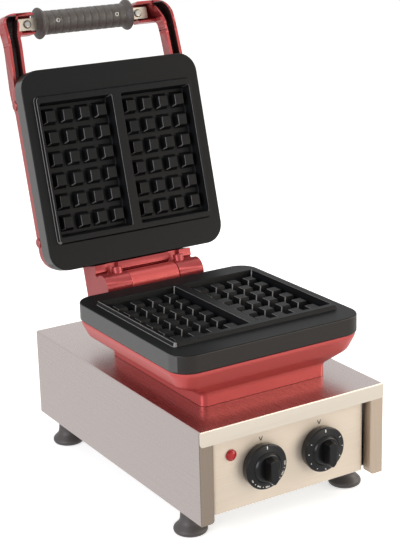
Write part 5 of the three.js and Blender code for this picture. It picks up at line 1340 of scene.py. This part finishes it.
@dataclass
class BaseCasting:
    """The red pedestal, its flared rim and the hinge bracket behind it."""

    low: float = 142.3
    rim_top: float = 193.2
    wall: float = 7.0
    bracket_half: float = 34.5
    barrel: float = BARREL_RADIUS
    stations: tuple[tuple[float, ...], ...] = (
        (85.3, 57.7, 268.0, 8.0, 142.3),
        (85.3, 57.7, 268.0, 8.0, 158.0),
        (116.9, 45.9, 277.7, 18.0, 172.0),
        (125.2, 37.6, 286.0, 25.0, 189.7),
        (125.2, 37.6, 286.0, 25.0, 193.2),
    )

    def pedestal(self) -> bpy.types.Object:
        """Returns the hollow pedestal, open under the plate."""
        outer = [level(*station) for station in eased(self.stations, [0, 4.5, 5.5, 3.0, 0], 6)]
        shell = Shell()
        foot, rim = shell.walls(outer)
        shell.cap(foot)
        inside = []
        for half, front, back, radius, z in self.stations:
            height = max(z, self.low + 8)
            inside.append((half - self.wall, front + self.wall, back - self.wall,
                           max(radius - self.wall / 2, 2), height))
        mouth, floor = shell.walls([level(*station) for station in inside[::-1]])
        shell.skin(rim, mouth)
        shell.cap(floor)
        return shell.made("pedestal")

    def opened(self, back: float, up: float) -> tuple[float, float]:
        """Returns where a point of the closed lid, given from the hinge, stands when open."""
        cos, sin = math.cos(OPEN_ANGLE), math.sin(OPEN_ANGLE)
        return HINGE.y + back * cos + up * sin, HINGE.z - back * sin + up * cos

    def bracket(self) -> list[bpy.types.Object]:
        """Returns the bracket's web and its centre knuckle."""
        ledge_front = self.opened(18.3, 20.5)
        ledge_back = self.opened(18.3, 41.3)
        section = eased([
            (262, self.low), (ledge_back[0], self.low), ledge_back, ledge_front,
            (HINGE.y + 13, ledge_front[1] + 0.3), (HINGE.y + 13, HINGE.z), (HINGE.y - 13, HINGE.z),
            (HINGE.y - 19, self.rim_top), (284.6, self.rim_top - 6), (262, self.rim_top - 6)],
            [0, 1.5, 1, 1, 1, 0, 0, 2, 0, 0], 3, closed=True)
        web = run_along(section, -self.bracket_half, self.bracket_half, Axis.X)
        softened(web, 0.8, 3, 60)
        knuckle = turned([
            (PIN_BORE, -self.bracket_half), (self.barrel - 0.8, -self.bracket_half),
            (self.barrel, -self.bracket_half + 0.8), (self.barrel, self.bracket_half - 0.8),
            (self.barrel - 0.8, self.bracket_half), (PIN_BORE, self.bracket_half)],
            Axis.X, 72, HINGE)
        carved(web, "DIFFERENCE", [rod(PIN_BORE, -40, 40, Axis.X, HINGE, 72)])
        return [web, knuckle]

    def build(self) -> None:
        """Builds the whole casting."""
        whole = joined("base", [self.pedestal(), *self.bracket()])
        fit(dressed(whole, RED_ENAMEL), "base_casting_enamelled", Body.BASE, ["base_casting"])


@dataclass
class LidCasting:
    """The red lid casting with its hinge block and handle bow, drawn closed."""

    face: float = LID_FACE
    half: float = 126.4
    front: float = 36.4
    back: float = 287.2
    corner: float = 25.0
    plate: float = 22.3
    wall: float = 8.0
    barrel: float = BARREL_RADIUS
    barrel_half: float = 70.0
    bore_half: float = 68.6
    boss_drop: float = 4.6
    middle_half: float = 35.0
    grub_x: float = 45.0
    arm_width: float = 18.0
    rib: float = 3.8
    floor: float = 3.7
    depth: float = 18.0
    stub_rise: float = 40.0
    stub_width: float = 28.0
    stub_x: float = 73.0
    stub_end: float = -40.0
    arm_x: float = 121.5
    root_x: float = 124.4
    root_y: float = 66.0
    root_run: float = 44.0
    channel_x: float = 97.7
    pocket_x: float = 95.6
    bolt_x: float = 80.3
    near: float = 0.25
    side_boss_places: tuple[float, float] = (75.0, 248.0)

    def skin(self) -> bpy.types.Object:
        """Returns the shallow dish with its pocket for the element."""
        stations = [(1.0, self.plate), (1.0, 34.0), (8.0, 43.0), (30.0, 50.0)]
        shell = Shell()
        rings = []
        for inset, rise in eased(stations, [0, 5, 7, 0], 6):
            rings.append(level(self.half - inset, self.front + inset, self.back - inset,
                               max(self.corner - inset * 0.35, 6), self.face + rise))
        rim, crown = shell.walls(rings)
        shell.cap(crown)
        inset = self.wall + 1
        pocket = [level(self.half - inset, self.front + inset, self.back - inset, 16.0, z)
                  for z in (self.face + self.plate, self.face + 37.6)]
        mouth, roof = shell.walls(pocket)
        shell.skin(rim, mouth)
        shell.cap(roof)
        return shell.made("skin")

    def hinge_block(self) -> list[bpy.types.Object]:
        """Returns the block on the lid's back, its two knuckles and their bosses."""
        top, strip = self.face + 29.5, self.face - 4.5
        front = self.back + 0.9
        groove = front + 9
        rear = HINGE.y + 18
        root = self.face + self.plate + 0.6
        section = [
            (front - 9, root), (front, root), (front, strip), (groove, strip),
            (groove + 2, strip + 3), (groove + 4, strip), (HINGE.y, HINGE.z),
            (HINGE.y + self.barrel, HINGE.z),
            (rear, HINGE.z + 8), (rear, top - 3), (rear - 3, top), (front - 9, top)]
        body = run_along(section, -self.barrel_half, self.barrel_half, Axis.X)
        notches = [
            block(side * self.grub_x - 8, side * self.grub_x + 8, self.back - 3, groove + 4,
                  HINGE.z - 3, strip + 6) for side in (-1, 1)]
        relief = [
            rod(20.5, -self.middle_half, self.middle_half, Axis.X, HINGE, 72),
            block(-self.middle_half, self.middle_half, HINGE.y, HINGE.y + 21, HINGE.z - 16,
                  HINGE.z + 20.5),
            block(-self.middle_half, self.middle_half, HINGE.y - 16, HINGE.y, HINGE.z - 16,
                  HINGE.z)]
        bore = rod(PIN_BORE, -self.bore_half, self.bore_half, Axis.X, HINGE, 72)
        barrel = rod(self.barrel, -self.barrel_half, self.barrel_half, Axis.X, HINGE, 72)
        carved(body, "UNION", [barrel])
        carved(body, "DIFFERENCE", [*notches, *relief, bore])
        softened(body, 0.7, 3, 30)
        start = front + self.boss_drop
        bosses = [
            turned(eased([(BOLT_BORE, start), (6.5, start), (6.5, HINGE.y - 7),
                          (BOLT_BORE, HINGE.y - 7)],
                         [0, 1.6, 0, 0], 4), Axis.Y, 48, (side * self.grub_x, 0, HINGE.z))
            for side in (-1, 1)]
        return [body, *bosses]

    def band(self, drop: float, floor: float) -> bpy.types.Object:
        """Returns the side band that the arm fills, as a solid across the arm.

        Args:
            drop: How far the band's lower edge goes down from the arm's.
            floor: How far its upper edge lies under the arm's.
        """
        top = self.stub_rise + self.depth
        end = self.stub_end - 3
        root = self.root_y + self.root_run + 2
        low = [(root, 24.0), (0.0, 24.5), (-20.0, 27.5), (-32.0, 34.0),
               (end, self.stub_rise - 1)]
        high = [(end, top - 3), (-31.0, top - 5), (-17.0, 46.0), (0.0, 41.5), (root, 41.0)]
        lows = [(y, self.face + z - drop) for y, z in eased(low, 9, 5)]
        highs = [(y, self.face + z - floor) for y, z in eased(high, 9, 5)]
        return run_along(lows + highs, self.stub_x, self.half + 3, Axis.X)

    def bow_outline(self) -> list[tuple[float, float]]:
        """Returns the plan of the right arm and its stub."""
        inner = self.arm_x - self.arm_width
        stub_top = self.stub_end + self.stub_width
        end = self.root_y + self.root_run
        return eased([
            (self.root_x - 7, end), (self.root_x - 12, end),
            (self.root_x - self.arm_width, self.root_y), (inner, 0),
            (inner, stub_top), (self.stub_x + 4, stub_top), (self.stub_x, stub_top - 4),
            (self.stub_x, self.stub_end + 4), (self.stub_x + 4, self.stub_end),
            (self.arm_x, self.stub_end), (self.arm_x, 0), (self.root_x, self.root_y)],
            [0, 0, 4, 4, 7, 0, 0, 0, 0, 47, 4, 16], 12, closed=True)

    def channel_outline(self) -> list[tuple[float, float]]:
        """Returns the plan of the arm's channel, which follows the outer rib."""
        inner = self.arm_x - self.arm_width + self.rib
        stub_top = self.stub_end + self.stub_width
        outer = self.arm_x - self.rib
        return eased([
            (self.root_x - self.rib, self.root_y),
            (self.root_x - self.arm_width + self.rib, self.root_y),
            (inner, 0), (inner, stub_top),
            (self.channel_x + 0.6, self.stub_end + self.rib + 0.4),
            (outer, self.stub_end + self.rib), (outer, 0)],
            [0, 0, 4, 6, 0.8, 36, 4], 10, closed=True)

    def arm(self) -> tuple[bpy.types.Object, BVHTree]:
        """Returns the right arm with its stub, and its channel's faces for the painted shade."""
        low, high = self.face, self.face + self.stub_rise + self.depth
        inner = self.arm_x - self.arm_width
        stub_top = self.stub_end + self.stub_width
        outline = self.bow_outline()
        arm = run_along(outline, low, high, Axis.Z)
        place = block(inner - self.rib, self.half + 2, self.stub_end - 2,
                      self.root_y + self.root_run + 1, low - 1, high + 1)
        carved(arm, "INTERSECT", [place, self.band(0, 0)])
        stub = run_along(outline, low, high, Axis.Z)
        hold = block(self.stub_x - 2, inner + self.rib, self.stub_end - 2, stub_top,
                     self.face + self.stub_rise, high + 1)
        carved(stub, "INTERSECT", [hold])
        carved(arm, "UNION", [stub])
        channel = run_along(self.channel_outline(), low - 2, high, Axis.Z)
        carved(channel, "INTERSECT", [self.band(3, self.floor)])
        hollow = BVHTree.FromPolygons(
            [tuple(v.co) for v in channel.data.vertices],
            [tuple(face.vertices) for face in channel.data.polygons])
        end = self.stub_end + self.rib
        pocket = run_along([
            (self.stub_x - 3, end), (self.pocket_x, end), (inner, stub_top - self.rib),
            (self.stub_x - 3, stub_top - self.rib)], low, high - self.floor, Axis.Z)
        hole = rod(BOLT_BORE, low, high + 3, Axis.Z,
                   (self.bolt_x, self.stub_end + self.stub_width / 2, 0), 24)
        carved(arm, "DIFFERENCE", [channel, pocket, hole])
        return softened(arm, 0.9, 3, 28), hollow

    def paint_channel_shade(self, lid: bpy.types.Object, hollow: BVHTree) -> None:
        """Gives the arms' channels their painted shade.

        Args:
            lid: The drawn lid.
            hollow: The faces of the right arm's channel; the left arm mirrors it.
        """
        lid.data.materials.append(CHANNEL_PAINTED_SHADE.dress())
        for face in lid.data.polygons:
            x, y, z = face.center
            if y < self.root_y and hollow.find_nearest((abs(x), y, z), self.near)[0]:
                face.material_index = 1

    def side_bosses(self) -> list[bpy.types.Object]:
        """Returns the low bosses on the lid's flanks."""
        reach = self.half - 1
        bosses = []
        for side in (-1, 1):
            for y in self.side_boss_places:
                ends = sorted((side * (reach - 4), side * (reach + 1.5)))
                bosses.append(rod(6, ends[0], ends[1], Axis.X, (0, y, self.face + 28), 40, 0.6))
        return bosses

    def build(self) -> None:
        """Builds the whole casting."""
        right, hollow = self.arm()
        items = [self.skin(), right, mirrored(right), *self.hinge_block(), *self.side_bosses()]
        # The lid gets the enamel with painted shade, a shade deeper than the base's.
        lid = dressed(joined("lid", items), LID_ENAMEL_PAINTED_SHADE)
        # Painted shade in the arms' channels.
        self.paint_channel_shade(lid, hollow)
        fit(lid, "lid_casting_enamelled", Body.LID, ["lid_casting"])


@dataclass
class Handle:
    """The flat bar, the ribbed grip on it and their screws, drawn on the closed lid."""

    face: float = LID_FACE
    bar_y: float = -26.0
    bar_top: float = 54.0
    bar_thick: float = 4.0
    bar_width: float = 15.5
    bar_half: float = 94.8
    bolt_x: float = 80.3
    nut_seat: float = 58.3
    nut_height: float = 4.5
    screw_x: float = 42.5
    screw_radius: float = 3.2
    grip_radius: float = 15.3
    grip_half: float = 58.0
    collar_radius: float = 20.2
    collar_width: float = 9.0
    ribs: int = 11

    def bar(self) -> None:
        """Builds the flat stainless bar."""
        z = self.face + self.bar_top
        outline = rounded(-self.bar_half, self.bar_half, self.bar_y - self.bar_width / 2,
                          self.bar_y + self.bar_width / 2, 1.5, 4)
        bar = run_along(outline, z - self.bar_thick, z, Axis.Z)
        softened(bar, 0.4, 2, 50)
        fit(dressed(bar, STEEL_BAR), "handle_flat_bar", Body.LID, ["handle_bar"])

    def grip(self) -> None:
        """Builds the grip: a core, its ribs and the two collars."""
        z = self.face + self.bar_top - self.bar_thick / 2
        radius = self.grip_radius
        end = self.grip_half + self.collar_width
        half = [(radius - 0.8, self.grip_half - 4), (radius - 0.4, self.grip_half - 1.5),
                (radius + 1.6, self.grip_half + 1.2),
                (self.collar_radius - 0.8, self.grip_half + 4.0),
                (self.collar_radius, self.grip_half + 5.6),
                (self.collar_radius - 0.4, self.grip_half + 7.4),
                (radius, end - 0.6), (8.0, end)]
        half = eased(half, [0, 1, 1.6, 1.2, 0.9, 0.8, 1.6, 0], 5)
        profile = [(r, -x) for r, x in half[::-1]] + half
        core = turned([(0, -end), *profile, (0, end)], Axis.X, 64, (0, self.bar_y, z))
        pitch = 2 * (self.grip_half - 1) / self.ribs
        ridge = pitch / 2
        rib_profile = eased([
            (radius - 1.6, -ridge), (radius - 0.5, -ridge), (radius, -ridge * 0.6),
            (radius, ridge * 0.6), (radius - 0.5, ridge), (radius - 1.6, ridge)],
            [0, 0.5, 1.6, 1.6, 0.5, 0], 3)
        rib = turned(rib_profile, Axis.X, 64)
        ribs = repeated(
            rib, grid_tree(),
            {"Columns": self.ribs, "Rows": 1, "ColumnPitch": pitch, "RowPitch": 0.0},
            GRIP_PHENOLIC)
        moved(ribs, Matrix.Translation((0, self.bar_y, z)))
        for item in (core, ribs):
            carved(item, "DIFFERENCE", [
                rod(self.screw_radius + 0.4, z - self.collar_radius, z - radius + 3.4, Axis.Z,
                    (side * self.screw_x, self.bar_y, 0), 32) for side in (-1, 1)])
        whole = joined("grip", [core, ribs])
        fit(dressed(whole, GRIP_PHENOLIC, 50), "handle_grip_moulding", Body.LID, ["handle_grip"])

    def bolt(self, side: int, name: str) -> None:
        """Builds one bolt through the bar and its nut on the stub.

        Args:
            side: -1 for the left stub and 1 for the right one.
            name: The side in words.
        """
        under = self.face + self.bar_top - self.bar_thick - SEAT_GAP
        crown = self.face + self.nut_seat
        tip = crown + self.nut_height
        centre = (side * self.bolt_x, self.bar_y, 0)
        head = eased([(0, under - 2.2), (3.8, under - 2.1), (5.2, under - 1.2), (5.2, under),
                      (3, under), (3, tip), (0, tip)], [0, 1.2, 1.2, 0, 0, 0.4, 0], 4)
        fit(dressed(turned(head, Axis.Z, 40, centre), ZINC), f"bar_bolt_{name}", Body.LID,
            [f"handle_bolt_{name}"])
        nut = rod(5.6, crown, tip, Axis.Z, centre, 6)
        carved(nut, "DIFFERENCE", [rod(BOLT_BORE, crown - 2, crown + 8, Axis.Z, centre, 24)])
        fit(dressed(softened(nut, 0.5, 2, 40), ZINC), f"bar_nut_{name}", Body.LID,
            [f"handle_nut_{name}"])

    def grip_screw(self, side: int, name: str) -> None:
        """Builds one screw of the grip, with its socket.

        Args:
            side: -1 for the left screw and 1 for the right one.
            name: The side in words.
        """
        middle = self.face + self.bar_top - self.bar_thick / 2
        seat = middle - self.grip_radius + 3.2
        shank = eased([(0, seat - 0.5), (1.7, seat - 0.5), (1.8, seat - 2.9), (2.9, seat - 2.9),
                       (self.screw_radius, seat - 2.3), (self.screw_radius, seat), (2, seat),
                       (2, middle + 6.7), (0, middle + 6.7)],
                      [0, 0, 0.3, 0.5, 0.3, 0, 0, 0, 0], 4)
        screw = turned(shank, Axis.Z, 40, (side * self.screw_x, self.bar_y, 0))
        fit(dressed(screw, ZINC), f"grip_screw_head_{name}", Body.LID, [f"grip_screw_{name}"])

    def build(self) -> None:
        """Builds every piece of the handle."""
        self.bar()
        self.grip()
        for side, name in ((-1, "left"), (1, "right")):
            self.bolt(side, name)
            self.grip_screw(side, name)


def dress_inner_solids() -> None:
    """Gives the solids that stay as they are, mostly hidden ones, their finishes."""
    finishes = {
        "zinc_steel": ZINC, "element_sheath": SHEATH, "pale_moulding": CERAMIC, "brass": BRASS,
        "stainless": STEEL_ALONG, "red_enamel": RED_ENAMEL, "coated_iron": COATED_IRON,
        "black_moulding": BLACK_PHENOLIC, "foot_moulding": FOOT_RUBBER,
        "grip_moulding": GRIP_PHENOLIC, "red_lens": RED_LENS,
    }
    slots = {part["node"]: part["material_slot"] for part in frame["record"]["subparts"]}
    for name, node in frame["nodes"].items():
        if node.hide_render:
            continue
        node.data.materials.clear()
        node.data.materials.append(finishes[slots[name]].dress())


# Studio


@dataclass
class Studio:
    """Camera, lamps, world and floor."""

    eye: tuple[float, float, float] = (-861.95, -1213.05, 767.4)
    azimuth: float = -31.47
    elevation: float = 17.48
    roll: float = -1.5
    focal_pixels: float = 1444.14
    picture_height: int = 548
    sensor: float = 36.0

    def camera(self) -> None:
        """Builds the camera where the photograph was taken."""
        a, e, r = (math.radians(v) for v in (self.azimuth, self.elevation, self.roll))
        back = Vector((math.sin(a) * math.cos(e), -math.cos(a) * math.cos(e), math.sin(e)))
        right = Vector((math.cos(a), math.sin(a), 0))
        up = back.cross(right)
        turned_right = right * math.cos(r) + up * math.sin(r)
        turned_up = up * math.cos(r) - right * math.sin(r)
        data = bpy.data.cameras.new("camera")
        data.sensor_width = self.sensor
        data.lens = self.focal_pixels * self.sensor / self.picture_height
        data.clip_start, data.clip_end = 0.05, 50
        item = placed("camera", data)
        turn = Matrix((turned_right, turned_up, back)).transposed().to_4x4()
        item.matrix_world = Matrix.Translation(TO_FRAME @ Vector(self.eye)) @ turn
        bpy.context.scene.camera = item

    def rays(self, tree: bpy.types.NodeTree, *kinds: str) -> bpy.types.NodeSocket:
        """Returns a socket that is 1 for some kinds of ray and 0 for the others.

        Args:
            tree: The tree of the floor's material or of the world.
            kinds: The kinds of ray, such as Camera.
        """
        path = add_node(tree, "ShaderNodeLightPath")
        found = path.outputs[f"Is {kinds[0]} Ray"]
        for kind in kinds[1:]:
            found = add_node(tree, "ShaderNodeMath", {"operation": "MAXIMUM"},
                             {0: found, 1: path.outputs[f"Is {kind} Ray"]}).outputs[0]
        return found

    def world(self) -> None:
        """Builds a white surround that lights the object softly."""
        world = bpy.data.worlds.new("studio")
        world.use_nodes = True
        tree = world.node_tree
        tree.nodes.clear()
        place = add_node(tree, "ShaderNodeTexCoord")
        parts = add_node(tree, "ShaderNodeSeparateXYZ", {}, {0: place.outputs["Generated"]})
        height = add_node(tree, "ShaderNodeMapRange", {"From Min": -0.35, "From Max": 0.8},
                          {"Value": parts.outputs["Z"]})
        ramp = add_node(tree, "ShaderNodeValToRGB", {}, {0: height.outputs[0]})
        ramp.color_ramp.elements[0].color = linear("#8d8782")
        ramp.color_ramp.elements[1].color = linear("#f2efea")
        soft = add_node(tree, "ShaderNodeBackground", {"Strength": 0.62}, {0: ramp.outputs[0]})
        white = add_node(tree, "ShaderNodeBackground", {"Color": (1, 1, 1, 1), "Strength": 1.0})
        mix = add_node(tree, "ShaderNodeMixShader", {},
                       {0: self.rays(tree, "Camera", "Glossy", "Transmission"),
                        1: soft.outputs[0], 2: white.outputs[0]})
        add_node(tree, "ShaderNodeOutputWorld", {}, {0: mix.outputs[0]})
        bpy.context.scene.world = world

    def lamp(
        self, name: str, place: Point, aim: Point, size: tuple[float, float], power: float,
        colour: str,
    ) -> None:
        """Builds one soft box.

        Args:
            name: Its name.
            place: Where it stands, in metres of the frame.
            aim: The point that it faces.
            size: Its width and height in metres.
            power: Its power in watts.
            colour: Its light's sRGB hex colour.
        """
        data = bpy.data.lights.new(name, "AREA")
        data.shape = "RECTANGLE"
        data.size, data.size_y = size
        data.energy = power
        data.color = linear(colour)[:3]
        turn = (Vector(aim) - Vector(place)).to_track_quat("-Z", "Y")
        placed(name, data).matrix_world = Matrix.Translation(place) @ turn.to_matrix().to_4x4()

    def floor(self) -> None:
        """Builds the pale floor, which keeps the object's shadow."""
        reach, depth = 4000, 20
        item = block(-reach, reach, -reach, reach, -depth, 0)
        moved(item, Matrix.Scale(MM, 4))
        item.name = "floor"
        material = bpy.data.materials.new("pale_floor")
        material.use_nodes = True
        tree = material.node_tree
        shader = tree.nodes["Principled BSDF"]
        shader.inputs["Base Color"].default_value = linear("#f4f4f4")
        shader.inputs["Roughness"].default_value = 1.0
        glow = add_node(tree, "ShaderNodeEmission", {"Color": (1, 1, 1, 1), "Strength": 0.55})
        both = add_node(tree, "ShaderNodeAddShader", {},
                        {0: shader.outputs[0], 1: glow.outputs[0]})
        shown = add_node(tree, "ShaderNodeMixShader", {},
                         {0: self.rays(tree, "Camera"), 1: shader.outputs[0], 2: both.outputs[0]})
        white = add_node(tree, "ShaderNodeEmission", {"Color": (1, 1, 1, 1), "Strength": 1.0})
        mix = add_node(tree, "ShaderNodeMixShader", {},
                       {0: self.rays(tree, "Glossy", "Transmission"), 1: shown.outputs[0],
                        2: white.outputs[0]})
        tree.links.new(mix.outputs[0], tree.nodes["Material Output"].inputs[0])
        item.data.materials.append(material)

    def build(self) -> None:
        """Builds the studio."""
        self.camera()
        self.world()
        self.lamp("front_right", (2.4, -1.3, 1.2), (0, 0, 0.15), (1.5, 1.5), 44, "#fff5e8")
        self.lamp("front", (1.1, -2.0, 0.45), (0, 0, 0.25), (1.0, 0.5), 9, "#fff5e8")
        self.lamp("left", (-2.1, -0.6, 0.8), (0, 0, 0.2), (1.2, 1.4), 32, "#f6f4ff")
        self.lamp("above", (0.2, 0.6, 2.2), (0, 0, 0.2), (1.6, 1.6), 12, "#ffffff")
        self.floor()
        bpy.context.scene.view_settings.view_transform = "Standard"


def main() -> None:
    """Builds the waffle maker and its studio."""
    logging.basicConfig(level=logging.INFO, format="%(message)s")
    housing = Housing()
    housing.build()
    Dial("thermostat", Body.THERMOSTAT, -40.0, ("50", "100", "150", "200", "250", "300"),
         math.radians(120), math.radians(30)).build(housing)
    Dial("timer", Body.TIMER, 40.0, ("1", "2", "3", "4", "5"),
         math.radians(60), math.radians(60)).build(housing)
    BaseCasting().build()
    LidCasting().build()
    lower = Matrix.Translation((0, PLATE_MIDDLE, LOWER_FACE))
    upper = Matrix.Translation((0, PLATE_MIDDLE, LID_FACE)) @ Matrix.Rotation(math.pi, 4, "Y")
    WafflePlate().build("lower_plate", Body.BASE, lower)
    WafflePlate().build("upper_plate", Body.LID, upper)
    Handle().build()
    dress_inner_solids()
    Studio().build()


if __name__ == "__main__":
    main()
